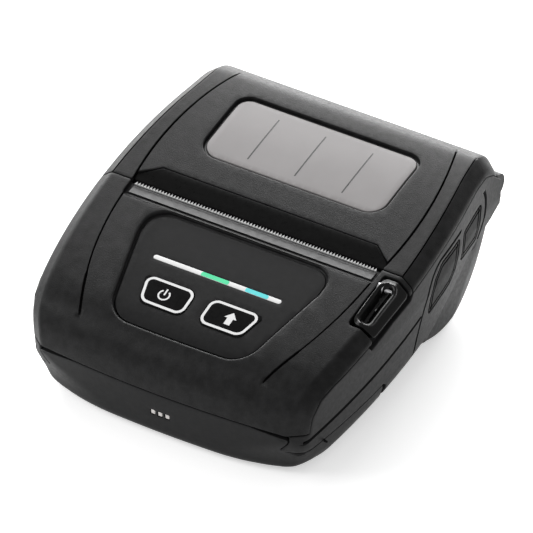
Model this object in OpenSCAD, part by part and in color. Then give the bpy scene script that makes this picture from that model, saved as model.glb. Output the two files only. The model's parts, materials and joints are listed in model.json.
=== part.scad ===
// Portable receipt printer for 80 mm paper.
// +Z is up, -Y is the front with the control panel, +X is the side with the lid lever.
// The pieces are drawn about the middle of the tear seam, on the casing's top, where the lid
// meets the front cover. The last step lifts and shifts them so that the feet stand on z = 0.

/* [Casing] */
// From the paper's edge out to the side wall
side_room = 13; // [12:0.25:15]
// From the tear seam forward to the front face
front_len = 56; // [55:0.25:60]
// From the tear seam back to the rear wall
rear_len = 62; // [61:0.25:65]
// Height of the tear seam above the table
seam_h = 42.8; // [42:0.2:46]
// Plan radius of the bowed side walls
side_r = 250; // [220:5:320]
// Plan radius of the bowed front face
front_r = 380; // [300:10:500]
// Inward lean of the side walls in degrees
draft = 7; // [4:0.5:8]
// Thickness of the casing walls
wall = 2; // [1.8:0.05:2.2]
// Gap left along the parting lines
seam_gap = 0.3; // [0.2:0.05:0.4]
// Width of the sloping band along each top edge
band_w = 4; // [3.4:0.1:4.4]
// Slope of that band in degrees
band_slope = 38.7; // [36:0.1:42]
// Length cut off each front corner in plan
corner_cut = 6; // [4:0.5:7]
// Height of the crest of the lid above the tear seam
crest_h = 6.2; // [5.4:0.1:7]
// Depth of the front seam below the tear seam
front_seam = 25.4; // [24:0.2:27]
// Width of the styling grooves
groove_w = 0.7; // [0.5:0.1:1]
// Depth of the styling grooves
groove_d = 0.6; // [0.4:0.1:0.9]

/* [Paper path] */
// Width of the paper the printer takes
paper_w = 80; // [78:0.5:80]
// Radius of the paper roll chamber's outer wall
belly_r = 29.6; // [29:0.1:30.6]
// From the chamber's axis back to the rear wall
belly_back = 32; // [31.5:0.1:32.5]
// Thickness of the chamber's inner walls
rib = 1.5; // [1.2:0.1:1.8]
// Radius of the rubber platen roller
platen_r = 5; // [4.6:0.1:5.1]
// Depth of the platen axis below the tear seam
platen_z = 8; // [7.8:0.1:8.4]
// Radius of the platen shaft
shaft_r = 2; // [1.6:0.1:2.2]
// Width of the paper slot at the tear bar
slot_w = 0.5; // [0.4:0.1:0.8]
// Pitch of the tear bar teeth
tooth_pitch = 1; // [0.8:0.1:1.4]
// Height of the tear bar teeth
tooth_h = 0.9; // [0.6:0.1:1]

/* [Gears] */
// Gear module
module_size = 0.5; // [0.49:0.005:0.51]
// Teeth on the platen gear
platen_teeth = 20; // [19:1:21]
// Teeth on the idler gear
idler_teeth = 28; // [27:1:29]
// Teeth on the motor pinion
pinion_teeth = 12; // [12:1:13]
// Width of the gear faces
gear_w = 2; // [1.6:0.1:2.1]
// Radius of the motor
motor_r = 7; // [6.2:0.1:7.1]
// Length of the motor
motor_len = 18; // [14:1:22]

/* [Hinge and lever] */
// Depth of the lid hinge axis below the tear seam
hinge_z = 9.3; // [9:0.1:9.6]
// Radius of the hinge knuckles
knuckle_r = 3.8; // [3.6:0.1:4]
// Length of each hinge knuckle
knuckle_w = 6.2; // [5:0.2:6.4]
// Radius of the hinge pins
hinge_pin_r = 1.3; // [1:0.1:1.5]
// Running clearance of a pin in its bore
run_gap = 0.05; // [0.03:0.01:0.08]
// Clearance round moving covers and buttons
move_gap = 0.3; // [0.2:0.05:0.4]
// Length of the lid lever
lever_len = 20.2; // [18:0.2:21]
// Width of the lid lever
lever_w = 8.6; // [8:0.2:9]
// Radius of the lever pin
lever_pin_r = 1; // [0.8:0.1:1.2]

/* [Lid window] */
// Width of the window
window_w = 60.6; // [56:0.2:62]
// Length of the window
window_l = 26; // [24:0.2:27]
// From the tear seam back to the front edge of the window
window_y = 18.5; // [18:0.25:19]
// Depth of the window below the lid's top
window_drop = 0.9; // [0.6:0.1:1]
// Thickness of the window
window_t = 1.4; // [1.1:0.1:1.5]
// Width of the seal round the window
seal_w = 0.9; // [0.7:0.1:1.2]
// Spacing of the marks on the window
mark_pitch = 16; // [14:0.5:18]

/* [Control panel] */
// Width of the panel at its back edge
panel_back_w = 60; // [57:0.5:62]
// Width of the panel at its front edge
panel_front_w = 45; // [43:0.5:48]
// From the tear seam forward to the panel's back edge
panel_y0 = 7; // [6.6:0.1:8]
// Distance of the panel's front edge from the printer's front
panel_front_room = 9.4; // [9:0.2:11]
// Depth of the panel below the cover's top
panel_drop = 1.2; // [0.9:0.1:1.5]
// Thickness of the panel
panel_t = 1.3; // [1:0.1:1.4]
// Spacing of the two buttons
button_pitch = 22.2; // [21.6:0.2:23]
// Width of each button
button_w = 17; // [15:0.2:17.4]
// Length of each button
button_l = 9.6; // [8.5:0.2:10.4]
// Travel of each button
button_travel = 0.5; // [0.3:0.05:0.6]
// Length of the status light bar
light_len = 43; // [38:0.5:44]
// Width of the status light bar
light_w = 1.6; // [1.2:0.1:2]

/* [Power and ports] */
// Width of the battery pack
battery_w = 68; // [62:0.5:69]
// Distance of the battery pack's rear end from the tear seam
battery_back = 14; // [13.5:0.5:18]
// Height of the battery pack at its front
battery_h = 15; // [13.5:0.25:15.5]
// Spacing of the charging contacts
contact_pitch = 2.4; // [2.1:0.1:3]
// Radius of the charging contacts
contact_r = 0.85; // [0.7:0.05:0.95]
// Thickness of the port covers
flap_t = 1.5; // [1.2:0.1:1.7]
// Radius of each rubber foot
foot_r = 3; // [2.5:0.1:3.2]
// How far the front feet stand out
foot_proud = 1.2; // [1:0.1:1.5]
// How far the rear feet stand out
rear_foot_proud = 0.4; // [0.3:0.1:0.6]
// Radius of the casing screws
screw_r = 1.2; // [1:0.1:1.4]
// Thickness of the circuit boards
board_t = 1.4; // [1:0.1:1.6]

/* [Hidden] */
$fn = 48;
big = 200;
body_half = paper_w / 2 + side_room;
belly_y = rear_len - belly_back;
chamber_half = paper_w / 2 + 1;
belly_z = -(seam_h - rear_foot_proud - belly_r);
front_floor = -(seam_h - foot_proud);
platen_y = slot_w + 0.5 + platen_r;
pitch_platen = module_size * platen_teeth / 2;
pitch_idler = module_size * idler_teeth / 2;
pitch_pinion = module_size * pinion_teeth / 2;
idler_dir = 225;
idler_y = platen_y + (pitch_platen + pitch_idler) * cos(idler_dir);
idler_z = -platen_z + (pitch_platen + pitch_idler) * sin(idler_dir);
motor_dir = 262;
motor_y = idler_y + (pitch_idler + pitch_pinion) * cos(motor_dir);
motor_z = idler_z + (pitch_idler + pitch_pinion) * sin(motor_dir);
hinge_y = rear_len;
arm_t = 2;
arm_x = chamber_half + 1.6;
gear_x = arm_x + arm_t + 0.4;
plate_x = gear_x - 0.7;
plate_t = 1.2;
knuckle_x = chamber_half - 0.6;
panel_y1 = front_len - panel_front_room;
button_y = 12.5 - panel_y1;
light_y = button_y + 11.5;
lever_x = body_half - lever_w - 0.4;
lever_y0 = -2;
lever_y1 = lever_y0 - lever_len;
pivot_y = -4.9;
pivot_z = -2.9;
bay_front = -(front_len - 8);
bay_back = -battery_back;
bay_top = front_floor + battery_h + 0.4;
board_z = bay_top + rib + 2.4;
panel_board_z = -17;
post_spots = [[panel_back_w / 2 - 6, -panel_y0 - 8], [panel_front_w / 2 - 4.5, 4.6 - panel_y1]];
post_r = 2.2;
screw_r = 0.75;
screw_l = 3.9;
main_board_half = battery_w / 2 + 4;
switch_h = 2.2;
stem_bottom = panel_board_z + board_t + switch_h + 0.5 + button_travel;
flap_gap = 0.25;
draft_z = -12;
mid_plane_gap = 0.15;

// Outline helpers, for lists of [x, y] points that run anticlockwise
function unit(v) = v / norm(v);
function side_of(a, b) = let (u = unit(b - a)) [-u[1], u[0]];
function inset(p, d) = [for (i = [0 : len(p) - 1])
    let (
        a = p[(i + len(p) - 1) % len(p)],
        c = p[(i + 1) % len(p)],
        n1 = side_of(a, p[i]),
        n2 = side_of(p[i], c)
    ) p[i] + d * (n1 + n2) / (1 + n1 * n2)];
function corner(a, b, c, r, n) =
    let (
        u = unit(a - b),
        v = unit(c - b),
        half = acos(u * v) / 2,
        mid = b + unit(u + v) * r / sin(half),
        s = b + u * r / tan(half) - mid,
        e = b + v * r / tan(half) - mid
    ) [for (i = [0 : n]) mid + r * unit(s * (n - i) / n + e * i / n)];
function rounded(p, r, n = 5) = [for (i = [0 : len(p) - 1])
    each corner(p[(i + len(p) - 1) % len(p)], p[i], p[(i + 1) % len(p)],
        is_list(r) ? r[i] : r, n)];
function bezier(a, b, c, d, n) = [for (i = [0 : n])
    let (t = i / n, s = 1 - t) a * s * s * s + b * 3 * s * s * t + c * 3 * s * t * t + d * t * t * t];
function arc(mid, r, a0, a1, n) = [for (i = [0 : n])
    let (a = a0 + (a1 - a0) * i / n) mid + r * [cos(a), sin(a)]];
function mirrored(p) = [for (i = [len(p) - 1 : -1 : 0]) [-p[i][0], p[i][1]]];
function moved(p, d) = [for (q = p) q + d];

// Side outline of the casing as [y, z], anticlockwise from the front seam
front_point = [-front_len, -front_seam];
kink_z = front_floor + 6.2;
kink_angle = -180 - asin((kink_z - belly_z) / belly_r);
function front_bottom() = bezier(front_point + [4.9, -11.6], front_point + [6.4, front_floor + front_seam],
    front_point + [7.5, front_floor + front_seam], front_point + [13, front_floor + front_seam], 6);
function belly_arc() = arc([belly_y, belly_z], belly_r, kink_angle, -10, 30);
function rear_top() = bezier([rear_len, -3], [rear_len - 1, 2.5], [rear_len - 6, crest_h],
    [rear_len - 11.5, crest_h], 8);
function lid_top() = bezier([rear_len - 11.5, crest_h], [rear_len - 26, crest_h], [14, 2.3], [0, 0], 14);
function cover_top() = bezier([0, 0], [-13, -2.1], [16 - front_len + 13, -4.95], [16 - front_len, -8.2], 10);
function front_roll() = bezier([16 - front_len, -8.2], [4.5 - front_len, -11.3],
    [1.1 - front_len, -15.5], front_point, 10);
function tail(p) = [for (i = [1 : len(p) - 1]) p[i]];
function side_outline() = concat([front_point], front_bottom(), [[-37, front_floor]], belly_arc(),
    [[rear_len, -14.5]], rear_top(), tail(lid_top()), tail(cover_top()),
    [for (i = [1 : 9]) front_roll()[i]]);

// Upper edge of the sloping band, as its plan distance from the middle
function band_edge(y) = body_half - band_w - y * y / (2 * side_r) * 1.12;
function band_outline(d) = let (s = sin(band_slope), c = cos(band_slope), top = tail(concat(
    rear_top(), tail(lid_top()), tail(cover_top()), tail(front_roll()))))
    concat([[-front_len - 20, -big], [rear_len + 20, -big]],
        [[rear_len + 20, band_edge(rear_len) * s + top[0][1] * c - d]],
        [for (q = top) [q[0], band_edge(q[0]) * s + q[1] * c - d]],
        [[-front_len - 20, band_edge(front_len) * s + top[len(top) - 1][1] * c - d]]);

module along_x(x0, x1) {
    translate([x0, 0, 0])
        rotate([90, 0, 90])
            linear_extrude(height = x1 - x0)
                children();
}

module box(x0, x1, y0, y1, z0, z1) {
    translate([x0, y0, z0])
        cube([x1 - x0, y1 - y0, z1 - z0]);
}

module rod(x0, x1, y, z, r) {
    translate([x0, y, z])
        rotate([0, 90, 0])
            cylinder(h = x1 - x0, r = r);
}

module both_sides() {
    children();
    mirror([1, 0, 0])
        children();
}

// The casing's outer form, drawn inwards by d for its inner faces
module form(d = 0) {
    difference() {
        intersection() {
            along_x(-body_half - 5, body_half + 5)
                polygon(inset(side_outline(), d));
            side_walls(d);
            mirror([1, 0, 0])
                side_walls(d);
            translate([0, front_r - front_len + d, -big / 2])
                cylinder(h = big, r = front_r, $fn = 96);
            band(d);
            mirror([1, 0, 0])
                band(d);
        }
        both_sides() {
            front_corner(d);
            chamber_step(d);
            edge_facet(d);
        }
    }
}

module side_walls(d) {
    lean = tan(draft);
    translate([body_half - side_r, 0, 0]) {
        translate([0, 0, draft_z])
            cylinder(h = 40, r = side_r - d, $fn = 96);
        translate([0, 0, draft_z - 60])
            cylinder(h = 60, r1 = side_r - d - 60 * lean, r2 = side_r - d, $fn = 96);
    }
}

module band(d) {
    rotate([0, band_slope, 0])
        along_x(-big, big)
            polygon(band_outline(d));
}

module front_corner(d) {
    turn = -52;
    translate([body_half - corner_cut - 5.6 - d * cos(turn), -front_len + 2.3 - d * sin(turn), -big / 2])
        rotate([0, 0, turn])
            translate([0, -60, 0])
                cube([40, 120, big]);
}

// Beside the roll chamber the side walls end, and the chamber stands in from them
step_x = body_half - 5.8;
step_y = 7.5;
step_z = -22;
module chamber_step(d) {
    difference() {
        box(step_x - d - 4, big, step_y - d, big, -60, step_z + d);
        rod(0, step_x - d - 2.6, belly_y, belly_z, belly_r + 3);
        translate([step_x - d - 2.61, belly_y, belly_z])
            rotate([0, 90, 0])
                cylinder(h = 2.61, r1 = belly_r - d + 0.35, r2 = belly_r - d - 2.4, $fn = 96);
    }
}

// The bevel between the side wall and the underside, ahead of the roll chamber
module edge_facet(d) {
    slope = 42;
    translate([body_half - 6.6 - d * cos(slope), 0, front_floor + 5.6 + d * sin(slope)])
        rotate([8.4, 0, -3.5])
            rotate([0, slope, 0])
                translate([0, -80, -40])
                    cube([30, 80 + step_y, 80]);
}

// Regions that split the shell into its pieces, as [y, z] seen from the side
cover_edge = [[-front_len - 8, -front_seam], [7 - front_len, -front_seam], [-48.6, -19.5],
    [-45.5, -14.6], [-40.5, -12.4], [-28.6, -9.6], [-14.4, -6.4], [-mid_plane_gap, -4]];
function cover_region() = concat(cover_edge, [[-mid_plane_gap, 20], [-front_len - 8, 20]]);
lid_edge = [[0, -4], [13.8, -1.8], [31.5, 0.5], [rear_len - 18, 2], [rear_len - 11, 1.9], [rear_len - 6, -0.6],
    [rear_len - 2.5, -4],
    [rear_len + 0.5, -6], [rear_len + 8, -6]];
function lid_region() = concat(lid_edge, [[rear_len + 8, 20], [0, 20]]);
tray_edge = [[-front_len + 3.2, -front_seam], [-front_len + 4.8, -33], [-front_len + 9, -33],
    [-12.5, -31], [-11, -32.5], [-11.4, -60]];
function tray_region() = concat([[-front_len - 8, -60]],
    [for (i = [len(tray_edge) - 1 : -1 : 0]) tray_edge[i]], [[-front_len - 8, -front_seam]]);

module cover_zone(shift = 0) {
    along_x(-big, big)
        polygon(moved(cover_region(), [0, shift]));
}

module lid_zone(shift = 0) {
    along_x(-big, big)
        polygon(moved(lid_region(), [shift, shift]));
}

module tray_zone(shift = 0) {
    along_x(-big, big)
        polygon(moved(tray_region(), [-shift, -shift]));
}

module shell() {
    difference() {
        form();
        form(wall);
    }
}

// The step inside each joint, on which the cover and the tray sit
module lip() {
    difference() {
        intersection() {
            form(wall / 2);
            union() {
                cover_zone();
                tray_zone();
            }
        }
        form(wall);
        cover_zone(seam_gap);
        tray_zone(seam_gap);
    }
}

// Layers that follow the top, a given depth below it
function top_line() = concat(rear_top(), tail(lid_top()), tail(cover_top()), tail(front_roll()));
module slab(drop, t) {
    line = top_line();
    n = len(line) - 1;
    along_x(-big, big)
        polygon(concat(moved(line, [0, -drop]), [for (i = [n : -1 : 0]) line[i] - [0, drop + t]]));
}

// Plan lines of the styling grooves, bowed in towards both ends
function groove_x(y) = body_half - 10.6 - (y < 0 ? y * y / 225 : y * y / 560);
module grooves(y0, y1) {
    n = 10;
    line = [for (i = [0 : n]) let (y = y0 + (y1 - y0) * i / n) [groove_x(y), y]];
    back = [for (i = [n : -1 : 0]) line[i] - [groove_w, 0]];
    difference() {
        both_sides()
            translate([0, 0, -30])
                linear_extrude(height = 50)
                    polygon(concat(line, back));
        translate([0, 0, -groove_d])
            form();
    }
}

// Front cover
function panel_outline() = rounded([[-panel_back_w / 2, -panel_y0], [-panel_back_w / 2, -panel_y0 - 9],
    [-panel_front_w / 2, -panel_y1], [panel_front_w / 2, -panel_y1], [panel_back_w / 2, -panel_y0 - 9],
    [panel_back_w / 2, -panel_y0]], [6, 6, 8, 8, 6, 6]);

module plan(p, z0 = -40, z1 = 20) {
    translate([0, 0, z0])
        linear_extrude(height = z1 - z0)
            polygon(p);
}

module lever_notch(gap) {
    along_x(lever_x - gap, body_half + 5)
        polygon([[lever_y0 + gap, 20], [lever_y1 - gap, 20],
            [lever_y1 - gap, -10.6], [-11, -7.4], [lever_y0 + gap, -6.2]]);
}

module front_cover() color("#1d1d1e") {
    difference() {
        union() {
            intersection() {
                shell();
                cover_zone(seam_gap);
            }
            intersection() {
                plan(inset(panel_outline(), -1.6));
                slab(1, pad_bottom - 1);
            }
            lever_boss();
            panel_posts();
        }
        grooves(-front_len, 0);
        intersection() {
            plan(inset(panel_outline(), -0.15));
            slab(-9, 9 + panel_drop + panel_t);
        }
        button_holes(0.8);
        light_hole(0.2);
        box(-paper_w / 2 - 2.4, paper_w / 2 + 2.4, -4.4, 1, -1.2, 5);
        lever_notch(move_gap);
        rod(lever_x - 1.7, lever_x + 1, pivot_y, pivot_z, lever_pin_r);
    }
}

module lever_boss() {
    intersection() {
        box(lever_x - 2.2, lever_x - move_gap, lever_y1 - 2, lever_y0, -10, 5);
        form(0.5);
        cover_zone(seam_gap);
    }
}

module panel_posts() {
    for (x = [-1, 1], q = post_spots)
        difference() {
            intersection() {
                translate([x * q[0], q[1], panel_board_z + board_t])
                    cylinder(h = 20, r = post_r);
                slab(pad_bottom - 0.6, 20);
            }
            translate([x * q[0], q[1], panel_board_z])
                cylinder(h = screw_l + 0.6, r = screw_r + 0.05);
        }
}

// Buttons stand in the panel and slide straight down
function button_outline(side) = let (h = button_w / 2, l = button_l / 2, p = [[-h, -l], [h - 2.6, -l],
    [h, l - 1], [h - 0.6, l], [-h, l]], q = side < 0 ? mirrored(p) : p)
    rounded(moved(q, [side * button_pitch / 2, button_y]), side < 0 ? [2.5, 0.4, 0.4, 2.5, 2.5]
        : [2.5, 2.5, 0.4, 0.4, 2.5]);

module button_holes(gap) {
    for (side = [-1, 1])
        plan(inset(button_outline(side), -gap));
}

module button(side) {
    intersection() {
        plan(button_outline(side));
        slab(panel_drop - 0.25, pad_bottom - panel_drop + 1.1);
    }
    intersection() {
        plan(inset(button_outline(side), -1));
        slab(pad_bottom + 0.15, 0.7);
    }
    translate([side * button_pitch / 2, button_y, stem_bottom])
        cylinder(h = 2.6, r = 2);
}

module power_button() color("#202122") button(-1);
module feed_button() color("#202122") button(1);

function light_outline() = let (x = light_len / 2, w = light_w / 2)
    rounded([[-x, light_y - w], [x, light_y - w], [x, light_y + w], [-x, light_y + w]], w - 0.01, 4);

module light_hole(gap) {
    plan(inset(light_outline(), -gap));
}

module light_guide() color("#cfd6d4") {
    intersection() {
        plan(light_outline(), led_top);
        slab(panel_drop - 0.05, 12);
    }
}

pad_bottom = 3.7;
led_top = panel_board_z + board_t + 1.3;

module control_panel() color("#262728") {
    difference() {
        intersection() {
            plan(panel_outline());
            slab(panel_drop, panel_t);
        }
        button_holes(move_gap);
        light_hole(0.05);
    }
}

module control_board() color("#1f5d3a") {
    difference() {
        box(-post_spots[0][0] - 3.5, post_spots[0][0] + 3.5, post_spots[1][1] - 3, post_spots[0][1] + 3.5,
            panel_board_z, panel_board_z + board_t);
        for (x = [-1, 1], q = post_spots)
            translate([x * q[0], q[1], panel_board_z - 1])
                cylinder(h = 5, r = 1.2);
    }
}

module button_switches() color("#c9c9c4") {
    for (x = [-1, 1])
        translate([x * button_pitch / 2, button_y, panel_board_z + board_t]) {
            translate([-3, -3, 0])
                cube([6, 6, switch_h]);
            cylinder(h = switch_h + 0.4, r = 1.6);
        }
}

module status_leds() color("#e8e4c8") {
    for (x = [-14, 0, 14])
        box(x - 1.6, x + 1.6, light_y - 0.8, light_y + 0.8, panel_board_z + board_t, led_top - 0.1);
}

module board_screws() color("#9a9c9e") {
    for (x = [-1, 1], q = post_spots)
        translate([x * q[0], q[1], panel_board_z]) {
            translate([0, 0, -1.2])
                cylinder(h = 1.2, r = 1.9);
            cylinder(h = screw_l, r = screw_r);
        }
}

// Tear bar, with teeth that point back over the paper slot
module tear_bar() color("#b9bcc0") {
    n = floor((paper_w + 2.4) / tooth_pitch / 2);
    tip = 0.5;
    teeth = [for (i = [-n : n - 1]) each [[i * tooth_pitch, tip - tooth_h], [(i + 0.5) * tooth_pitch, tip]]];
    last = [[n * tooth_pitch, tip - tooth_h]];
    edge = concat([[-n * tooth_pitch, -4.2], [n * tooth_pitch, -4.2]],
        [for (i = [0 : 2 * n]) let (all = concat(teeth, last)) all[2 * n - i]]);
    plan(edge, -1.15, -0.65);
}

// Lid
function window_outline(d) = let (x = window_w / 2, y0 = window_y, y1 = window_y + window_l)
    rounded([[-x - d, y0 - d], [x + d, y0 - d], [x + d, y1 + d], [-x - d, y1 + d]],
        [5.5 + d, 5.5 + d, 4 + d, 4 + d], 6);
function grip_outline(d) = [[-chamber_half - 1.6 - d, -1], [chamber_half + 1.6 + d, -1],
    [chamber_half + 1.6 + d, 3.2], [chamber_half - 4.6 + d, 8 + d], [-chamber_half + 4.6 - d, 8 + d],
    [-chamber_half - 1.6 - d, 3.2]];
lid_front = 0.5 + slot_w + 0.3;

module lid_shell() color("#1f1f20") {
    difference() {
        union() {
            difference() {
                intersection() {
                    shell();
                    lid_zone(seam_gap);
                }
                plan(grip_outline(0), -40, 20);
                both_sides()
                    rod(knuckle_x - move_gap, knuckle_x + knuckle_w + 12, hinge_y, -hinge_z,
                        knuckle_r + move_gap);
            }
            window_ledge();
            both_sides() {
                lid_arm();
                lid_knuckle();
            }
            arm_beam();
        }
        grooves(0, rear_len + 1);
        intersection() {
            plan(window_outline(seal_w));
            slab(-9, 9 + window_drop + window_t);
        }
        plan(window_outline(-1.6));
        both_sides() {
            rod(arm_x - 2, arm_x + arm_t + 1, platen_y, -platen_z, bush_r);
            rod(knuckle_x - knuckle_w - 3, knuckle_x + 2, hinge_y, -hinge_z, hinge_pin_r + run_gap);
        }
    }
}

bush_r = shaft_r + 1.2;

module window_ledge() {
    intersection() {
        plan(window_outline(seal_w + 1.4));
        slab(1, window_drop + window_t + 0.2);
    }
}

module lid_arm() {
    intersection() {
        box(arm_x, arm_x + arm_t, lid_front, 12.5, -platen_z - bush_r - 0.5, 4);
        form(0.5);
    }
}

// A beam behind the platen ties the two arms together
module arm_beam() {
    intersection() {
        box(-arm_x - 0.5, arm_x + 0.5, platen_y + 5.6, platen_y + 7, -5.5, 3);
        form(wall - 0.3);
    }
}

module lid_knuckle() {
    rod(knuckle_x - move_gap - knuckle_w, knuckle_x - move_gap, hinge_y, -hinge_z, knuckle_r);
    box(knuckle_x - move_gap - knuckle_w, knuckle_x - move_gap, rear_len - wall, rear_len,
        -hinge_z + 2, -4);
}

module lid_window() color("#6d7072", 0.8) {
    intersection() {
        plan(window_outline(0));
        slab(window_drop, window_t);
    }
    for (i = [-1 : 1])
        intersection() {
            box(i * mark_pitch - 0.2, i * mark_pitch + 0.2, window_y + 3.6, window_y + 22.2, -2, 20);
            slab(window_drop - 0.1, 0.4);
        }
}

module window_seal() color("#0d0d0d") {
    difference() {
        intersection() {
            plan(window_outline(seal_w));
            slab(window_drop + 0.2, window_t - 0.2);
        }
        plan(window_outline(0));
    }
}

module lid_grip() color("#141414") {
    intersection() {
        plan(grip_outline(0), -8, 5);
        along_x(-big, big)
            polygon([[lid_front, -1.1], [lid_front, -2.6], [9, -1.7], [9, 5], [7.6, 1.1], [lid_front + 0.3, -0.6]]);
        form();
    }
}

// Print mechanism
module platen_roller() color("#2b2b2b") {
    difference() {
        rod(-chamber_half - 0.2, chamber_half + 0.2, platen_y, -platen_z, platen_r);
        rod(-chamber_half - 1, chamber_half + 1, platen_y, -platen_z, shaft_r);
    }
}

module platen_shaft() color("#a9adb1") {
    rod(-gear_x - gear_w - 0.3, arm_x + arm_t + 0.8, platen_y, -platen_z, shaft_r);
}

module platen_bushings() color("#d9d3bd") {
    both_sides()
        difference() {
            rod(arm_x, arm_x + arm_t, platen_y, -platen_z, bush_r);
            rod(arm_x - 1, arm_x + arm_t + 1, platen_y, -platen_z, shaft_r + run_gap);
        }
}

// Involute spur gear outline, with a little backlash and shortened tips
function involute(a) = tan(a) * 180 / PI - a;
function flank(teeth, r) = let (rp = module_size * teeth / 2, rb = rp * cos(20))
    90 / teeth - 2.2 / rp + involute(20) - involute(r <= rb ? 0 : acos(rb / r));
function gear_outline(teeth, phase) =
    let (
        rp = module_size * teeth / 2,
        root = rp - 1.15 * module_size,
        tip = rp + 0.8 * module_size,
        low = max(root + 0.02, rp * cos(20)),
        radii = concat([root], [for (i = [0 : 3]) low + (tip - low) * i / 3])
    ) [for (k = [0 : teeth - 1]) each concat(
        [for (r = radii) r * [cos(phase + k * 360 / teeth - flank(teeth, r)),
            sin(phase + k * 360 / teeth - flank(teeth, r))]],
        [for (i = [4 : -1 : 0]) let (r = radii[i]) r * [cos(phase + k * 360 / teeth + flank(teeth, r)),
            sin(phase + k * 360 / teeth + flank(teeth, r))]])];

module gear(teeth, phase, y, z, bore) {
    difference() {
        translate([0, y, z])
            along_x(-gear_x - gear_w, -gear_x)
                polygon(gear_outline(teeth, phase));
        rod(-gear_x - gear_w - 1, -gear_x + 1, y, z, bore);
    }
}

idler_phase = idler_dir + 180 + 180 / idler_teeth;
pinion_phase = motor_dir + 180 + 180 / pinion_teeth
    - (idler_phase - motor_dir) * idler_teeth / pinion_teeth;

module platen_gear() color("#e4e0d2") {
    gear(platen_teeth, idler_dir, platen_y, -platen_z, shaft_r);
}

module idler_gear() color("#e4e0d2") {
    gear(idler_teeth, idler_phase, idler_y, idler_z, 1.25 + run_gap);
}

module idler_pin() color("#a9adb1") {
    rod(-gear_x - gear_w - 0.4, -plate_x + plate_t, idler_y, idler_z, 1.25);
    rod(-gear_x - gear_w - 1, -gear_x - gear_w - 0.3, idler_y, idler_z, 2.2);
}

module motor_pinion() color("#b08d4f") {
    gear(pinion_teeth, pinion_phase, motor_y, motor_z, 0.5);
    rod(-gear_x - gear_w - 0.2, -plate_x + plate_t + 3, motor_y, motor_z, 1);
}

module stepper_motor() color("#8f9396") {
    difference() {
        union() {
            rod(-plate_x + plate_t, -plate_x + plate_t + motor_len, motor_y, motor_z, motor_r);
            rod(-plate_x, -plate_x + plate_t + 1, motor_y, motor_z, 3);
        }
        rod(-plate_x - 1, -plate_x + plate_t + 3.2, motor_y, motor_z, 1 + run_gap);
    }
}

plate_y0 = -12.5;
plate_y1 = 1.5;
plate_z0 = motor_z - 5;
module gear_plate() color("#9fa3a6") {
    difference() {
        box(-plate_x, -plate_x + plate_t, plate_y0, plate_y1, plate_z0, -platen_z - bush_r - 1.2);
        rod(-plate_x - 1, 0, motor_y, motor_z, 3);
        rod(-plate_x - 1, 0, idler_y, idler_z, 1.25);
    }
}

head_back = platen_y - platen_r - 0.1;
head_low = -15;
bracket_half = chamber_half - 0.6;

module print_head() color("#d8d4c6") {
    box(-chamber_half, chamber_half, head_back - 1.1, head_back, head_low, -4);
}

module heat_sink() color("#a7abae") {
    difference() {
        box(-chamber_half, chamber_half, head_back - 4.4, head_back - 1.1, head_low, -3.6);
        for (x = [-24, 0, 24])
            translate([x, head_back - 3.4, -9])
                rotate([90, 0, 0])
                    cylinder(h = 2, r = 2.7);
    }
}

module head_bracket() color("#8d9194") {
    difference() {
        union() {
            box(-bracket_half, bracket_half, head_back - 7.6, head_back - 6.4, head_low - 1.3, -5.6);
            box(-bracket_half, bracket_half, head_back - 7.6, head_back - 1.2, head_low - 1.3, head_low);
        }
        box(-14, 14, head_back - 3.4, head_back, head_low - 3, head_low + 1);
    }
}

module head_springs() color("#b4b7ba") {
    for (x = [-24, 0, 24])
        difference() {
            translate([x, head_back - 3.5, -9])
                rotate([90, 0, 0])
                    cylinder(h = 2.8, r = 2.3);
            translate([x, head_back - 3, -9])
                rotate([90, 0, 0])
                    cylinder(h = 4, r = 1.7);
        }
}

function strip(line, t) = let (n = len(line) - 1) concat(line, [for (i = [n : -1 : 0])
    line[i] + t * side_of(line[max(i - 1, 0)], line[min(i + 1, n)])]);

module ribbon_cable() color("#c58a3d") {
    y0 = head_back - 0.8;
    y1 = bay_back + 1.62;
    path = concat([[y0, head_low]], bezier([y0, head_low - 2], [y0, board_z + board_t + 0.6],
        [y0 - 2, board_z + board_t + 0.6], [y1, board_z + board_t + 0.6], 8));
    along_x(-11, 11)
        polygon(strip(path, 0.25));
}

// Lower housing, with the roll chamber, the port block and the seats of the print mechanism
module lower_housing() color("#2a2b2c") {
    difference() {
        union() {
            difference() {
                shell();
                cover_zone();
                lid_zone();
                tray_zone();
                both_sides() {
                    rod(knuckle_x - knuckle_w - 2 * move_gap, knuckle_x, hinge_y, -hinge_z,
                        knuckle_r + move_gap);
                    box(knuckle_x - knuckle_w - 2 * move_gap, knuckle_x, rear_len - wall - move_gap,
                        rear_len + 5, -hinge_z, 0);
                }
                box(-big, big, -mid_plane_gap - 0.05, 0.05, -4, 20);
            }
            lip();
            chamber_walls();
            port_block();
            seats();
            lever_floor();
            both_sides()
                housing_knuckle();
        }
        lever_notch(move_gap);
        both_sides() {
            rod(knuckle_x - 1, knuckle_x + knuckle_w + 2, hinge_y, -hinge_z, hinge_pin_r);
            side_grooves();
        }
        port_pocket(leaf_outline);
        port_pocket(jack_outline);
        port_cavities();
        screw_holes(screw_r);
        rear_feet_seats();
        box(-6, 6, platen_y + platen_r, platen_y + platen_r + 10, -21, -16);
    }
}

module lever_floor() {
    intersection() {
        along_x(lever_x - 1.5, body_half)
            polygon([[lever_y1 - 2, -13], [lever_y0 + 1, -9], [lever_y0 + 1, -5.6],
                [lever_y1 - 2, -9.4]]);
        form(wall - 0.5);
    }
}

chamber_front = platen_y + platen_r + 1.2;

module chamber_walls() {
    intersection() {
        union() {
            both_sides()
                box(chamber_half, chamber_half + rib, chamber_front, rear_len - 1, -50, -12.4);
            box(-chamber_half - rib, chamber_half + rib, chamber_front, chamber_front + rib, -50, -13.8);
        }
        form(wall - 0.5);
    }
}

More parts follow.
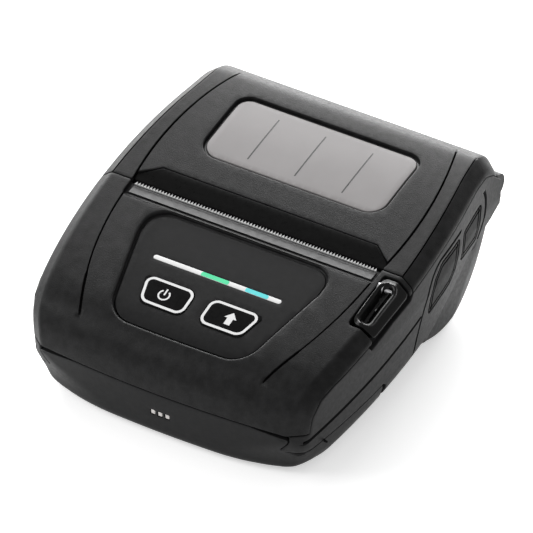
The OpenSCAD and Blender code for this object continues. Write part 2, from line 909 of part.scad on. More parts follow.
module seats() {
    intersection() {
        union() {
            for (x = [-19, 16])
                box(x, x + 3, head_back - 7, head_back - 3.6, -50, head_low - 1.3);
            box(-body_half, -plate_x, plate_y0, plate_y0 + 1.8, -15.2, -12.8);
            box(-body_half, -plate_x, plate_y0, plate_y0 + 3.6, plate_z0, plate_z0 + 3);
            box(-body_half, -plate_x, plate_y1 - 1.8, plate_y1, plate_z0, plate_z0 + 2.2);
            both_sides() {
                translate([screw_x, screw_y, -50])
                    cylinder(h = 24, r = 3.2);
                box(screw_x, body_half, screw_y - 1, screw_y + 1, -30.4, -27);
            }
        }
        form(wall - 0.5);
        seat_limit();
    }
}

screw_x = battery_w / 2 + 5.4;
screw_y = -16.4;
screw_z = front_floor + 3.1;
foot_y = 16.4 - front_len;

module seat_limit() {
    difference() {
        box(-big, big, -big, big, -60, 20);
        translate([0, 0, wall + 0.3])
            tray_floor();
    }
}

module tray_floor() {
    along_x(-big, big)
        polygon([[-11.2, -60], [-11.2, front_floor + 3.8], [-37, front_floor], [-front_len, front_floor],
            [-front_len, -60]]);
}

module screw_holes(r) {
    both_sides()
        translate([screw_x, screw_y, -50])
            cylinder(h = 22.6, r = r);
}

module housing_screws() color("#8a8d90") {
    both_sides()
        translate([screw_x, screw_y, screw_z]) {
            cylinder(h = 1.2, r = 2.1);
            cylinder(h = 10.4, r = screw_r);
        }
}

module housing_knuckle() {
    rod(knuckle_x, knuckle_x + knuckle_w, hinge_y, -hinge_z, knuckle_r);
    box(knuckle_x, knuckle_x + knuckle_w - 1.2, rear_len - wall - 1, rear_len, -14.5, -hinge_z);
}

module hinge_pins() color("#a9adb1") {
    both_sides()
        rod(knuckle_x - knuckle_w + 0.2, knuckle_x + knuckle_w - 0.6, hinge_y, -hinge_z, hinge_pin_r);
}

// Grooves along the side walls, as [y, z] strips cut a little way in
long_groove = [[-front_len + 5.5, -29.2], [-20, -23.9], [6, -18.7], [6, -17.7], [-20, -22.6],
    [-front_len + 5.5, -27.8]];
s_line = concat(bezier([4, -34], [4.6, -30], [5, -27], [5.6, -24.6], 4),
    tail(bezier([5.6, -24.6], [8, -12], [11, -4.6], [18.2, -4.2], 8)), [[31.3, -4.1]]);
scoop_line = bezier([45.8, -20.7], [49.6, -16.5], [52.8, -8], [50.1, -3.1], 7);

module side_grooves() {
    for (p = [long_groove, strip(s_line, 0.7), strip(scoop_line, 1.3)])
        difference() {
            along_x(30, body_half + 5)
                polygon(p);
            form(groove_d);
        }
}

// Port covers on the lever side, as [y, z]. Each swings about a vertical line at its rear edge.
leaf_hinge = 30.6;
jack_hinge = 47.6;
leaf_outline = rounded([[11.4, -20.6], [25.2, -18.9], [28.4, -16.2], [leaf_hinge, -6.4], [18, -6.2],
    [13.6, -9.5], [11.6, -14]], [1, 1.2, 1.2, 0.8, 2.5, 2.5, 2.5], 4);
jack_outline = rounded([[32.9, -15.8], [45, -17.2], [46.4, -13.8], [jack_hinge, -5.8], [34.4, -6.5]],
    [1.2, 1.2, 1.2, 1, 1.2], 4);
function wall_x(y, z) = body_half - y * y / (2 * side_r) - max(0, draft_z - z) * tan(draft);

module flap(outline) {
    difference() {
        intersection() {
            form();
            along_x(40, body_half + 5)
                polygon(outline);
        }
        form(flap_t);
    }
}

module port_pocket(outline) {
    difference() {
        along_x(40, body_half + 5)
            polygon(inset(outline, -flap_gap));
        form(flap_t + 0.2);
    }
}

module port_block() {
    intersection() {
        box(chamber_half + rib - 0.1, body_half, 10, jack_hinge + 1.9, -20.5, -4.6);
        form(wall - 0.5);
        difference() {
            box(0, big, -big, big, -big, big);
            translate([0, 0, -1.2])
                lid_zone();
            box(0, arm_x + arm_t + 0.6, 0, 13.1, -big, big);
        }
    }
}

port_x = chamber_half + 2.5;
usb_y = belly_y - 8.5;
usb_z = -14;
jack_y = belly_y + 10.5;
jack_z = -12;

module port_cavities() {
    box(port_x, body_half, usb_y - 4.6, usb_y + 4.6, usb_z - 2.1, usb_z + 2.1);
    rod(port_x - 0.3, body_half, jack_y, jack_z, 3.3);
}

module usb_socket() color("#b6b9bc") {
    difference() {
        box(port_x, wall_x(usb_y, usb_z) - flap_t - 0.9, usb_y - 4.5, usb_y + 4.5, usb_z - 2, usb_z + 2);
        box(port_x + 1.5, body_half, usb_y - 4, usb_y + 4, usb_z - 1.5, usb_z + 1.5);
    }
    box(port_x + 0.5, wall_x(usb_y, usb_z) - flap_t - 1.7, usb_y - 3.2, usb_y + 3.2, usb_z - 0.4, usb_z + 0.4);
}

module dc_jack() color("#161616") {
    difference() {
        rod(port_x - 0.3, wall_x(jack_y, jack_z) - flap_t - 1, jack_y, jack_z, 3.25);
        rod(port_x + 0.9, body_half, jack_y, jack_z, 1.8);
    }
    rod(port_x, wall_x(jack_y, jack_z) - flap_t - 1.5, jack_y, jack_z, 0.5);
}

module port_cover() color("#26272a") flap(leaf_outline);
module jack_cover() color("#26272a") flap(jack_outline);

module paper_sensor() color("#15171a") {
    box(-5.8, 5.8, platen_y + platen_r + 0.2, chamber_front + rib - 0.2, -20.8, -16.2);
}

// Lid lever, which turns on its pin near the tear seam
module open_lever() color("#121212") {
    difference() {
        intersection() {
            form(0.02);
            along_x(lever_x, body_half + 5)
                union() {
                    polygon([[pivot_y, 5], [lever_y1, 5], [lever_y1, -4.2], [lever_y1 + 0.55, -7.2],
                        [lever_y1 + 1.4, -7.8], [pivot_y, pivot_z - 2.9]]);
                    translate([pivot_y, pivot_z])
                        circle(r = lever_y0 - pivot_y);
                }
        }
        finger_pocket();
        rod(lever_x - 1, lever_x + lever_w - 2.5, pivot_y, pivot_z, lever_pin_r + run_gap);
        rod(lever_x - 1, lever_x + 2.2, pivot_y, pivot_z, 2.1);
    }
}

module finger_pocket() {
    x0 = lever_x + 1.7;
    x1 = lever_x + 6.2;
    y0 = lever_y1 + 2.6;
    difference() {
        along_x(x0, x1)
            polygon([[pivot_y - 3.4, 6], [y0, 6], [y0, -3.5], [y0 + 2, -6], [pivot_y - 5, -4.2],
                [pivot_y - 3.4, -2.5]]);
        box(x0 + 2, x0 + 2.7, y0 + 1.5, pivot_y - 4, -9, -4.6);
    }
}

module lever_pin() color("#a9adb1") {
    rod(lever_x - 1.7, lever_x + lever_w - 2.6, pivot_y, pivot_z, lever_pin_r);
}

module lever_spring() color("#b4b7ba") {
    difference() {
        rod(lever_x + 0.1, lever_x + 2.1, pivot_y, pivot_z, 1.9);
        rod(lever_x - 1, lever_x + 3, pivot_y, pivot_z, lever_pin_r + 0.15);
    }
}

// Bottom tray with the battery bay
module bottom_tray() color("#202122") {
    difference() {
        union() {
            intersection() {
                shell();
                tray_zone(seam_gap);
            }
            bay_walls();
            contact_block();
        }
        box(-battery_w / 2, battery_w / 2, bay_front, bay_back, -60, bay_top);
        both_sides() {
            translate([screw_x, screw_y, -50])
                cylinder(h = 30, r = screw_r + 0.15);
            translate([screw_x, screw_y, -50])
                cylinder(h = 50 + screw_z + 1.2, r = 2.3);
            foot_seat(foot_y, front_floor);
        }
        contact_holes();
        box(-9, 9, bay_back - 5, bay_back - 1.5, -40, 0);
    }
}

module bay_walls() {
    intersection() {
        box(-battery_w / 2 - rib, battery_w / 2 + rib, bay_front - rib, bay_back + rib, -50, bay_top + rib);
        form(wall / 2);
    }
    for (x = [-1, 1], y = [bay_front + 3, bay_back - 8])
        translate([x * 30, y, bay_top + rib / 2])
            cylinder(h = board_z - bay_top - rib / 2, r = 2.2);
}

module contact_block() {
    intersection() {
        box(-contact_pitch - 2.4, contact_pitch + 2.4, -front_len, bay_front - rib + 0.5, -38, -front_seam - 8);
        form(wall - 0.5);
    }
}

contact_z = -35;
module contact_holes() {
    for (i = [-1 : 1])
        translate([i * contact_pitch, bay_front - rib, contact_z])
            rotate([90, 0, 0])
                cylinder(h = 20, r = contact_r);
}

module charging_contacts() color("#cfae62") {
    for (i = [-1 : 1])
        intersection() {
            translate([i * contact_pitch, bay_front - rib, contact_z])
                rotate([90, 0, 0])
                    cylinder(h = 20, r = contact_r);
            form(0.01);
        }
}

module foot_seat(y, z) {
    translate([screw_x - 1.4, y, z - 5])
        cylinder(h = 5 + 0.8, r = foot_r);
}

module rear_feet_seats() {
    both_sides()
        translate([rear_foot_x, belly_y, -60])
            cylinder(h = 60 - seam_h + rear_foot_proud + 1, r = foot_r);
}

rear_foot_x = 34;

module rubber_feet() color("#101010") {
    both_sides() {
        translate([screw_x - 1.4, foot_y, -seam_h])
            cylinder(h = foot_proud + 0.8, r = foot_r);
        translate([rear_foot_x, belly_y, -seam_h])
            cylinder(h = rear_foot_proud + 1, r = foot_r);
    }
}

module battery_pack() color("#1b1c1d") {
    difference() {
        intersection() {
            box(-battery_w / 2 + move_gap, battery_w / 2 - move_gap, bay_front + move_gap,
                bay_back - move_gap, -60, bay_top - 0.1);
            form(0.02);
        }
        box(-12, 12, bay_front + 3, bay_front + 6, -60, front_floor + 1.2);
    }
}

module battery_contacts() color("#cfae62") {
    for (x = [-6, -2, 2, 6])
        box(x - 0.8, x + 0.8, bay_back - 4.6, bay_back - 1.9, bay_top, board_z);
}

module main_board() color("#1f5d3a") {
    box(-main_board_half, main_board_half, bay_front - 0.5, bay_back + 0.4, board_z, board_z + board_t);
}

module wireless_module() color("#8d9296") {
    box(12, 30, bay_front + 2, bay_front + 14, board_z + board_t, board_z + board_t + 1.6);
}

module buzzer() color("#151515") {
    translate([-24, bay_front + 9, board_z + board_t])
        cylinder(h = 1.8, r = 5);
}

module flex_connector() color("#e9e5d6") {
    box(-12, 12, bay_back - 3, bay_back + 1.6, board_z + board_t, board_z + board_t + 1.4);
}

// Frame whose origin is the middle of the footprint, on the table
shift_y = (front_len - rear_len - knuckle_r) / 2;
module placed() {
    translate([0, shift_y, seam_h])
        children();
}

placed() lower_housing();
placed() front_cover();
placed() bottom_tray();
placed() lid_shell();
placed() lid_window();
placed() window_seal();
placed() lid_grip();
placed() tear_bar();
placed() control_panel();
placed() light_guide();
placed() power_button();
placed() feed_button();
placed() control_board();
placed() button_switches();
placed() status_leds();
placed() main_board();
placed() wireless_module();
placed() buzzer();
placed() flex_connector();
placed() print_head();
placed() heat_sink();
placed() head_bracket();
placed() head_springs();
placed() ribbon_cable();
placed() stepper_motor();
placed() motor_pinion();
placed() gear_plate();
placed() idler_gear();
placed() idler_pin();
placed() platen_roller();
placed() platen_shaft();
placed() platen_gear();
placed() platen_bushings();
placed() hinge_pins();
placed() open_lever();
placed() lever_pin();
placed() lever_spring();
placed() battery_pack();
placed() battery_contacts();
placed() charging_contacts();
placed() port_cover();
placed() usb_socket();
placed() jack_cover();
placed() dc_jack();
placed() paper_sensor();
placed() board_screws();
placed() housing_screws();
placed() rubber_feet();
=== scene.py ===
"""Looks of a portable receipt printer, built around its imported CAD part."""

from __future__ import annotations

import json
import logging
import math
from collections.abc import Callable, Sequence
from dataclasses import dataclass, field
from enum import Enum

import bmesh
import bpy
import numpy as np
from mathutils import Matrix, Vector
from mathutils.geometry import delaunay_2d_cdt


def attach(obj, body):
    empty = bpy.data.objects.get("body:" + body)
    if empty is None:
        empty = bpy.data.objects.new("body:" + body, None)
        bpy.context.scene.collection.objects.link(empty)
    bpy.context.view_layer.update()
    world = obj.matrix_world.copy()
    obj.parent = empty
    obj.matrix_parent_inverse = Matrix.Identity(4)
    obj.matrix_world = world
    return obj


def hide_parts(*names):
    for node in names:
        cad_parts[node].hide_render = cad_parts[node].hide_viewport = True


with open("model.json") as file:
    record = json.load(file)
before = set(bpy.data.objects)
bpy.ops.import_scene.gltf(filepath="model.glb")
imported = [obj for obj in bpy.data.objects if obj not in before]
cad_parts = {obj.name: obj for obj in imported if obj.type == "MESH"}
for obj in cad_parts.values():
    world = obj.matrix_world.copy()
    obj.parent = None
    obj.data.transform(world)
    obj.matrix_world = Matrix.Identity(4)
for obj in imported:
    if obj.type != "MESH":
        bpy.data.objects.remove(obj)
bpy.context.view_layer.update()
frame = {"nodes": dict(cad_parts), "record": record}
LOG = logging.getLogger("printer")
MM = 0.001
# place of the middle of the tear seam in the part's frame, in mm
SEAM_Y = -4.9
SEAM_Z = 42.8
Colour = tuple[float, float, float]
Span = tuple[float, float]
Plan = Sequence[Sequence[float]]


class NodeTree:
    """A shader tree that is built by short calls."""

    def __init__(self, name: str) -> None:
        """Starts an empty material with its output and shader.

        Args:
            name: The material's name.
        """
        self.material = bpy.data.materials.new(name)
        self.material.use_nodes = True
        self.tree = self.material.node_tree
        self.shader = next(n for n in self.tree.nodes if n.type == "BSDF_PRINCIPLED")
        self.place = self.tree.nodes.new("ShaderNodeTexCoord").outputs["Object"]

    def link(self, start: bpy.types.NodeSocket, end: bpy.types.NodeSocket) -> None:
        """Joins two sockets."""
        self.tree.links.new(start, end)

    def noise(self, size: float, detail: float = 2.0, rough: float = 0.5) -> bpy.types.NodeSocket:
        """Adds noise on Object coordinates.

        Args:
            size: Width of the noise's features, in mm.
            detail: Number of finer layers.
            rough: Strength of the finer layers.

        Returns:
            The noise's factor output.
        """
        node = self.tree.nodes.new("ShaderNodeTexNoise")
        node.inputs["Scale"].default_value = 1 / (size * MM)
        node.inputs["Detail"].default_value = detail
        node.inputs["Roughness"].default_value = rough
        self.link(self.place, node.inputs["Vector"])
        return node.outputs["Fac"]

    def ranged(self, value: bpy.types.NodeSocket, source: Span, target: Span) -> bpy.types.NodeSocket:
        """Maps a value from one range to another.

        Args:
            value: Output that holds the value.
            source: The range it comes from.
            target: The range it goes to.

        Returns:
            The mapped value's output.
        """
        node = self.tree.nodes.new("ShaderNodeMapRange")
        for key, number in zip(("From Min", "From Max", "To Min", "To Max"), (*source, *target)):
            node.inputs[key].default_value = number
        self.link(value, node.inputs["Value"])
        return node.outputs["Result"]

    def blended(self, share: bpy.types.NodeSocket, low: Colour, high: Colour) -> bpy.types.NodeSocket:
        """Mixes two colours by a share.

        Args:
            share: Output that holds the share of the second colour.
            low: The first colour.
            high: The second colour.

        Returns:
            The mixed colour's output.
        """
        node = self.tree.nodes.new("ShaderNodeMix")
        node.data_type = "RGBA"
        for socket, number in ((node.inputs[6], low), (node.inputs[7], high)):
            socket.default_value = (*number, 1)
        self.link(share, node.inputs[0])
        return node.outputs[2]

    def bump(self, height: bpy.types.NodeSocket, depth: float) -> None:
        """Adds a bump to the shader's normal.

        Args:
            height: Output that holds the relief, from 0 to 1.
            depth: Its depth in mm.
        """
        node = self.tree.nodes.new("ShaderNodeBump")
        node.inputs["Strength"].default_value = 1.0
        node.inputs["Distance"].default_value = depth * MM
        self.link(height, node.inputs["Height"])
        self.link(node.outputs["Normal"], self.shader.inputs["Normal"])


# widths of the mottling and of the uneven gloss, as multiples of a finish's grain
CLOUD_GRAINS = 9
WEAR_GRAINS = 4
# the part of a noise's range that is spread over the whole of a finish's range
NOISE_SPAN: Span = (0.3, 0.7)
GLOSS_SPREAD = 0.12
LEAST_SPREAD = 0.01
LEAST_ROUGHNESS = 0.02


def scaled(colour: Colour, share: float) -> Colour:
    """A colour with each channel times a share."""
    return tuple(min(1.0, channel * share) for channel in colour)


@dataclass(frozen=True)
class Finish:
    """A surface finish with mottled colour, uneven gloss and a fine relief.

    Attributes:
        name: The finish's name.
        colour: Linear base colour.
        roughness: Mean roughness.
        grain: Relief depth in mm.
        grain_size: Width of the relief's grains in mm.
        mottling: Spread of the colour, as a share.
        metallic: 1 for bare metal.
        specular: Specular level.
        glow: Emission strength in the base colour.
    """

    name: str
    colour: Colour
    roughness: float = 0.5
    grain: float = 0.01
    grain_size: float = 0.5
    mottling: float = 0.1
    metallic: float = 0.0
    specular: float = 0.5
    glow: float = 0.0

    def material(self) -> bpy.types.Material:
        """Builds the finish, once.

        Returns:
            Its material.
        """
        name = f"finish_{self.name}"
        found = bpy.data.materials.get(name)
        if found is not None:
            return found
        nodes = NodeTree(name)
        shader = nodes.shader.inputs
        cloud = nodes.noise(self.grain_size * CLOUD_GRAINS, 3.0)
        share = nodes.ranged(cloud, NOISE_SPAN, (0.0, 1.0))
        low, high = scaled(self.colour, 1 - self.mottling), scaled(self.colour, 1 + self.mottling)
        nodes.link(nodes.blended(share, low, high), shader["Base Color"])
        wear = nodes.noise(self.grain_size * WEAR_GRAINS, 4.0, 0.6)
        spread = GLOSS_SPREAD * self.roughness + LEAST_SPREAD
        limits = (max(LEAST_ROUGHNESS, self.roughness - spread), min(1.0, self.roughness + spread))
        nodes.link(nodes.ranged(wear, NOISE_SPAN, limits), shader["Roughness"])
        if self.grain > 0:
            nodes.bump(nodes.noise(self.grain_size, 2.0), self.grain)
        shader["Metallic"].default_value = self.metallic
        shader["Specular IOR Level"].default_value = self.specular
        if self.glow > 0:
            shader["Emission Color"].default_value = (*self.colour, 1)
            shader["Emission Strength"].default_value = self.glow
        return nodes.material


class Finishes(Enum):
    """The finishes of the printer's pieces, by the material slot that they fill."""

    SIDE_GREY = Finish("side_grey", (0.015, 0.015, 0.0154), 0.44, 0.012, 0.3, 0.12, specular=0.12)
    TOP_BLACK = Finish("top_black", (0.011, 0.011, 0.0113), 0.42, 0.075, 0.34, 0.4, specular=0.14)
    WINDOW_SMOKE = Finish("window_smoke", (0.255, 0.243, 0.243), 0.34, 0.002, 2.0, 0.05, specular=0.3)
    SEAL_BLACK = Finish("seal_black", (0.01, 0.01, 0.01), 0.3, 0.002, 0.5)
    GRIP_BLACK = Finish("grip_black", (0.005, 0.005, 0.005), 0.3, 0.002, 0.4, 0.08, specular=0.05)
    STEEL = Finish("steel", (0.55, 0.55, 0.56), 0.28, 0.003, 0.6, 0.06, 1.0)
    PANEL_BLACK = Finish("panel_black", (0.014, 0.014, 0.0143), 0.38, 0.012, 0.3, 0.1, specular=0.1)
    LIGHT_GREY = Finish("light_grey", (0.78, 0.78, 0.78), 0.4, 0.002, 1.0, 0.04)
    BUTTON_BLACK = Finish("button_black", (0.005, 0.005, 0.0052), 0.3, 0.004, 0.35, 0.08, specular=0.04)
    BOARD_GREEN = Finish("board_green", (0.02, 0.12, 0.05), 0.4, 0.01, 1.2, 0.2)
    LED_LENS = Finish("led_lens", (0.75, 0.8, 0.8), 0.2, 0.001, 0.6, 0.03)
    PART_BLACK = Finish("part_black", (0.02, 0.02, 0.021), 0.45, 0.006, 0.5, 0.1)
    IVORY = Finish("ivory_plastic", (0.72, 0.68, 0.56), 0.45, 0.003, 0.8, 0.05)
    CERAMIC = Finish("head_ceramic", (0.62, 0.6, 0.55), 0.25, 0.002, 0.6, 0.06)
    ALUMINIUM = Finish("aluminium", (0.68, 0.69, 0.7), 0.38, 0.004, 0.5, 0.05, 1.0)
    AMBER = Finish("amber_film", (0.45, 0.2, 0.03), 0.35, 0.002, 1.0, 0.08)
    BRASS = Finish("brass", (0.72, 0.52, 0.22), 0.3, 0.003, 0.6, 0.08, 1.0)
    RUBBER = Finish("platen_rubber", (0.025, 0.025, 0.026), 0.75, 0.012, 0.5, 0.12)
    GLOSS_BLACK = Finish("gloss_black", (0.004, 0.004, 0.004), 0.2, 0.001, 1.5, 0.05, specular=0.2)
    GOLD = Finish("gold", (0.85, 0.68, 0.4), 0.25, 0.002, 0.5, 0.05, 1.0)
    COVER_RUBBER = Finish("cover_rubber", (0.009, 0.009, 0.0092), 0.42, 0.006, 0.4, 0.1, specular=0.03)
    FEET_RUBBER = Finish("feet_rubber", (0.02, 0.02, 0.02), 0.8, 0.012, 0.6, 0.12)


FINISH_OF = {finish.value.name: finish.value for finish in Finishes}
# near-black painted shade for the bottoms of sunk lines, grooves and creases, where shade falls in the real
# recesses
GROOVE_SHADE_PAINT = Finish("painted_groove_shade", (0.004, 0.004, 0.004), 0.7, 0.001, 0.4, 0.05, specular=0.0)
TOOTH_STEEL = Finish("tooth_steel", (0.4, 0.4, 0.4), 0.45, 0.002, 0.5, 0.08, 0.1)
CONTACT_SILVER = Finish("contact_silver", (0.74, 0.71, 0.69), 0.4, 0.002, 0.5, 0.05, 0.2)
LIGHT_GREEN = Finish("light_green", (0.05, 0.62, 0.3), 0.4, 0.001, 0.8, 0.05, glow=0.15)
LIGHT_BLUE = Finish("light_blue", (0.08, 0.6, 0.62), 0.4, 0.001, 0.8, 0.05, glow=0.15)
NODE_SLOTS = {row["node"]: row["material_slot"] for row in frame["record"]["subparts"]}


def dress_frame() -> None:
    """Gives each CAD node the finish of its material slot."""
    for name, slot in NODE_SLOTS.items():
        paint(frame["nodes"][name], FINISH_OF[slot].material())


def paint(piece: bpy.types.Object, material: bpy.types.Material) -> None:
    """Gives a piece one material in every slot.

    Args:
        piece: The piece's object.
        material: The material.
    """
    if not piece.material_slots:
        piece.data.materials.append(material)
    for place in piece.material_slots:
        place.material = material


@dataclass(frozen=True)
class SoftBox:
    """A soft lamp that faces the printer.

    Attributes:
        name: The lamp's name.
        spot: Its centre in mm.
        size: Its width and height in mm.
        watts: Its power.
    """

    name: str
    spot: tuple[float, float, float]
    size: Span
    watts: float

    def build(self, aim: Vector) -> None:
        """Adds the lamp and turns it towards a spot.

        Args:
            aim: The spot, in metres.
        """
        data = bpy.data.lights.new(self.name, "AREA")
        data.shape = "RECTANGLE"
        data.size, data.size_y = (side * MM for side in self.size)
        data.energy = self.watts
        lamp = bpy.data.objects.new(self.name, data)
        bpy.context.scene.collection.objects.link(lamp)
        centre = Vector(self.spot) * MM
        turned = (centre - aim).to_track_quat("Z", "Y").to_matrix().to_4x4()
        turned.translation = centre
        lamp.matrix_world = turned


@dataclass
class Studio:
    """The pale floor, the soft lamps and the camera.

    Attributes:
        turn: Camera's azimuth in degrees.
        rise: Camera's elevation in degrees.
        lens: Focal length in mm.
        sensor: Width of the sensor in mm.
        far: Distance in metres beyond which nothing is drawn.
        away: Distance of the camera from the seam point in mm.
        right: Shift to the right in mm.
        down: Shift down in mm.
        aim_z: Height in mm that the lamps face.
        lift: Glow of the floor towards the camera, which makes it white.
        ambient: Strength of the surrounding light.
        floor_half: Half of the floor's width in metres.
        boxes: The soft lamps.
    """

    turn: float = 30.35
    rise: float = 38.5
    lens: float = 574.1
    sensor: float = 36.0
    far: float = 20.0
    away: float = 2485.0
    right: float = 3.01
    down: float = 12.49
    aim_z: float = 30.0
    lift: float = 0.5
    ambient: float = 0.5
    floor_half: float = 3.0
    boxes: tuple[SoftBox, ...] = (
        SoftBox("back_box", (-560, 980, 250), (1300, 420), 19.0),
        SoftBox("high_box", (-470, 820, 720), (1300, 460), 12.0),
        SoftBox("left_box", (-760, -520, 640), (520, 420), 4.0),
    )

    def build(self) -> None:
        """Sets up the world, lamps, floor and camera."""
        bpy.context.scene.view_settings.view_transform = "Standard"
        self.camera()
        self.world()
        self.floor()
        for box in self.boxes:
            box.build(Vector((0, 0, self.aim_z)) * MM)

    def camera(self) -> None:
        """Places the camera by its angles and the seam point."""
        turn, rise = math.radians(self.turn), math.radians(self.rise)
        back = Vector((math.sin(turn) * math.cos(rise), -math.cos(turn) * math.cos(rise), math.sin(rise)))
        right = Vector((math.cos(turn), math.sin(turn), 0))
        up = back.cross(right)
        data = bpy.data.cameras.new("camera")
        data.lens = self.lens
        data.sensor_width = self.sensor
        data.clip_end = self.far
        camera = bpy.data.objects.new("camera", data)
        bpy.context.scene.collection.objects.link(camera)
        spot = Vector((0, SEAM_Y, SEAM_Z)) + self.right * right - self.down * up + self.away * back
        place = Matrix((right, up, back)).transposed().to_4x4()
        place.translation = spot * MM
        camera.matrix_world = place
        bpy.context.scene.camera = camera

    def world(self) -> None:
        """Makes a plain, dim surrounding light."""
        world = bpy.data.worlds.new("studio")
        bpy.context.scene.world = world
        world.use_nodes = True
        plain = world.node_tree.nodes["Background"]
        plain.inputs["Color"].default_value = (1, 1, 1, 1)
        plain.inputs["Strength"].default_value = self.ambient

    def floor(self) -> None:
        """Lays a wide pale floor under the printer."""
        half = self.floor_half
        mesh = bpy.data.meshes.new("floor")
        corners = [(-half, -half, 0), (half, -half, 0), (half, half, 0), (-half, half, 0)]
        mesh.from_pydata(corners, [], [(0, 1, 2, 3)])
        floor = bpy.data.objects.new("floor", mesh)
        bpy.context.scene.collection.objects.link(floor)
        nodes = NodeTree("floor_white")
        white = nodes.blended(nodes.noise(300), (0.93, 0.93, 0.93), (0.97, 0.97, 0.97))
        nodes.link(white, nodes.shader.inputs["Base Color"])
        nodes.shader.inputs["Roughness"].default_value = 0.9
        ray = nodes.tree.nodes.new("ShaderNodeLightPath")
        seen = ray.outputs["Is Camera Ray"]
        for kind in ("Is Glossy Ray", "Is Transmission Ray"):
            either = nodes.tree.nodes.new("ShaderNodeMath")
            either.operation = "MAXIMUM"
            nodes.link(seen, either.inputs[0])
            nodes.link(ray.outputs[kind], either.inputs[1])
            seen = either.outputs[0]
        nodes.shader.inputs["Emission Color"].default_value = (1, 1, 1, 1)
        nodes.link(nodes.ranged(seen, (0, 1), (0, self.lift)), nodes.shader.inputs["Emission Strength"])
        mesh.materials.append(nodes.material)


def bezier(a: Span, b: Span, c: Span, d: Span, steps: int) -> np.ndarray:
    """Points of a cubic curve with its ends.

    Args:
        a: The start.
        b: The start's handle.
        c: The end's handle.
        d: The end.
        steps: Number of stretches.

    Returns:
        The curve's points.
    """
    t = np.linspace(0, 1, steps + 1)[:, None]
    s = 1 - t
    a, b, c, d = (np.asarray(p, float) for p in (a, b, c, d))
    return a * s**3 + 3 * b * s * s * t + 3 * c * s * t * t + d * t**3


# longest stretches of the edges of marks, of keys and port covers, and of large openings
MARK_STEP = 0.5
KEY_STEP = 0.6
EDGE_STEP = 0.7
# distance between the rows of the cover's and the lid's skins
ROW_STEP = 1.1


def resampled(line: np.ndarray, step: float, closed: bool = False) -> np.ndarray:
    """A polyline with its corners kept and no stretch longer than a step.

    Args:
        line: Points, one row each.
        step: Longest stretch.
        closed: Whether the last point joins the first.

    Returns:
        The finer polyline.
    """
    ends = np.roll(line, -1, 0) if closed else line[1:]
    out = []
    for start, end in zip(line, ends):
        count = max(1, math.ceil(float(np.linalg.norm(end - start)) / step))
        out.append(start + (end - start) * (np.arange(count) / count)[:, None])
    if not closed:
        out.append(line[-1:])
    return np.vstack(out)


def rounded(corners: Plan, radii: Sequence[float] | float, steps: int = 6) -> np.ndarray:
    """A closed outline with its corners rounded.

    Args:
        corners: The outline's sharp corners.
        radii: A radius for each corner, or one for all.
        steps: Parts of each rounded corner.

    Returns:
        The outline's points.
    """
    points = np.asarray(corners, float)
    count = len(points)
    radii = [radii] * count if isinstance(radii, (int, float)) else radii
    out = []
    for i, radius in enumerate(radii):
        here = points[i]
        u = points[i - 1] - here
        v = points[(i + 1) % count] - here
        u, v = u / np.linalg.norm(u), v / np.linalg.norm(v)
        half = math.acos(float(np.clip(u @ v, -1, 1))) / 2
        mid = here + (u + v) / np.linalg.norm(u + v) * radius / math.sin(half)
        start, end = here + u * radius / math.tan(half) - mid, here + v * radius / math.tan(half) - mid
        for t in np.linspace(0, 1, steps + 1):
            ray = start * (1 - t) + end * t
            out.append(mid + ray / np.linalg.norm(ray) * radius)
    return np.array(out)


def box(x: Span, y: Span) -> list[Span]:
    """Corners of an upright rectangle, turning left."""
    return [(x[0], y[0]), (x[1], y[0]), (x[1], y[1]), (x[0], y[1])]


def area_of(loop: np.ndarray) -> float:
    """Signed area of a closed outline."""
    x, y = loop.T
    return float(np.sum(x * np.roll(y, -1) - np.roll(x, -1) * y)) / 2


def offset(loop: np.ndarray, inward: float) -> np.ndarray:
    """A closed outline moved towards its inside, with mitred corners.

    Args:
        loop: The outline.
        inward: Distance to move, negative for outwards.

    Returns:
        The moved outline, with as many points.
    """
    before, after = np.roll(loop, 1, 0), np.roll(loop, -1, 0)
    e1, e2 = loop - before, after - loop
    e1 /= np.linalg.norm(e1, axis=1)[:, None] + 1e-12
    e2 /= np.linalg.norm(e2, axis=1)[:, None] + 1e-12
    n1, n2 = np.column_stack([-e1[:, 1], e1[:, 0]]), np.column_stack([-e2[:, 1], e2[:, 0]])
    least = 0.4  # keeps the mitre of a sharp corner short
    share = np.maximum(1 + np.sum(n1 * n2, 1), least)[:, None]
    turn = 1.0 if area_of(loop) > 0 else -1.0
    return loop + turn * inward * (n1 + n2) / share


def distance_to(points: np.ndarray, line: np.ndarray, closed: bool = False) -> np.ndarray:
    """Distance from each point to a polyline.

    Args:
        points: Points, one row each.
        line: The polyline's points.
        closed: Whether its last point joins the first.

    Returns:
        One distance for each point.
    """
    starts = line if closed else line[:-1]
    ends = np.roll(line, -1, 0) if closed else line[1:]
    best = np.full(len(points), 1e9)
    for start, end in zip(starts, ends):
        ray = end - start
        length = float(ray @ ray) + 1e-12
        share = np.clip((points - start) @ ray / length, 0, 1)
        gap = points - start - share[:, None] * ray
        np.minimum(best, np.einsum("ij,ij->i", gap, gap), out=best)
    return np.sqrt(best)


def inside(points: np.ndarray, loop: np.ndarray) -> np.ndarray:
    """Whether each point lies inside a closed outline.

    Args:
        points: Points, one row each.
        loop: The outline.

    Returns:
        One truth value for each point.
    """
    x, y = points.T
    found = np.zeros(len(points), bool)
    for (x0, y0), (x1, y1) in zip(loop, np.roll(loop, -1, 0)):
        if y0 == y1:
            continue
        crosses = (y0 > y) != (y1 > y)
        found ^= crosses & (x < (x1 - x0) * (y - y0) / (y1 - y0) + x0)
    return found


def smooth_max(a: np.ndarray, b: np.ndarray, blend: float) -> np.ndarray:
    """The larger of two values, blended where they are close."""
    share = np.maximum(blend - np.abs(a - b), 0) / blend
    return np.maximum(a, b) + share * share * blend / 4


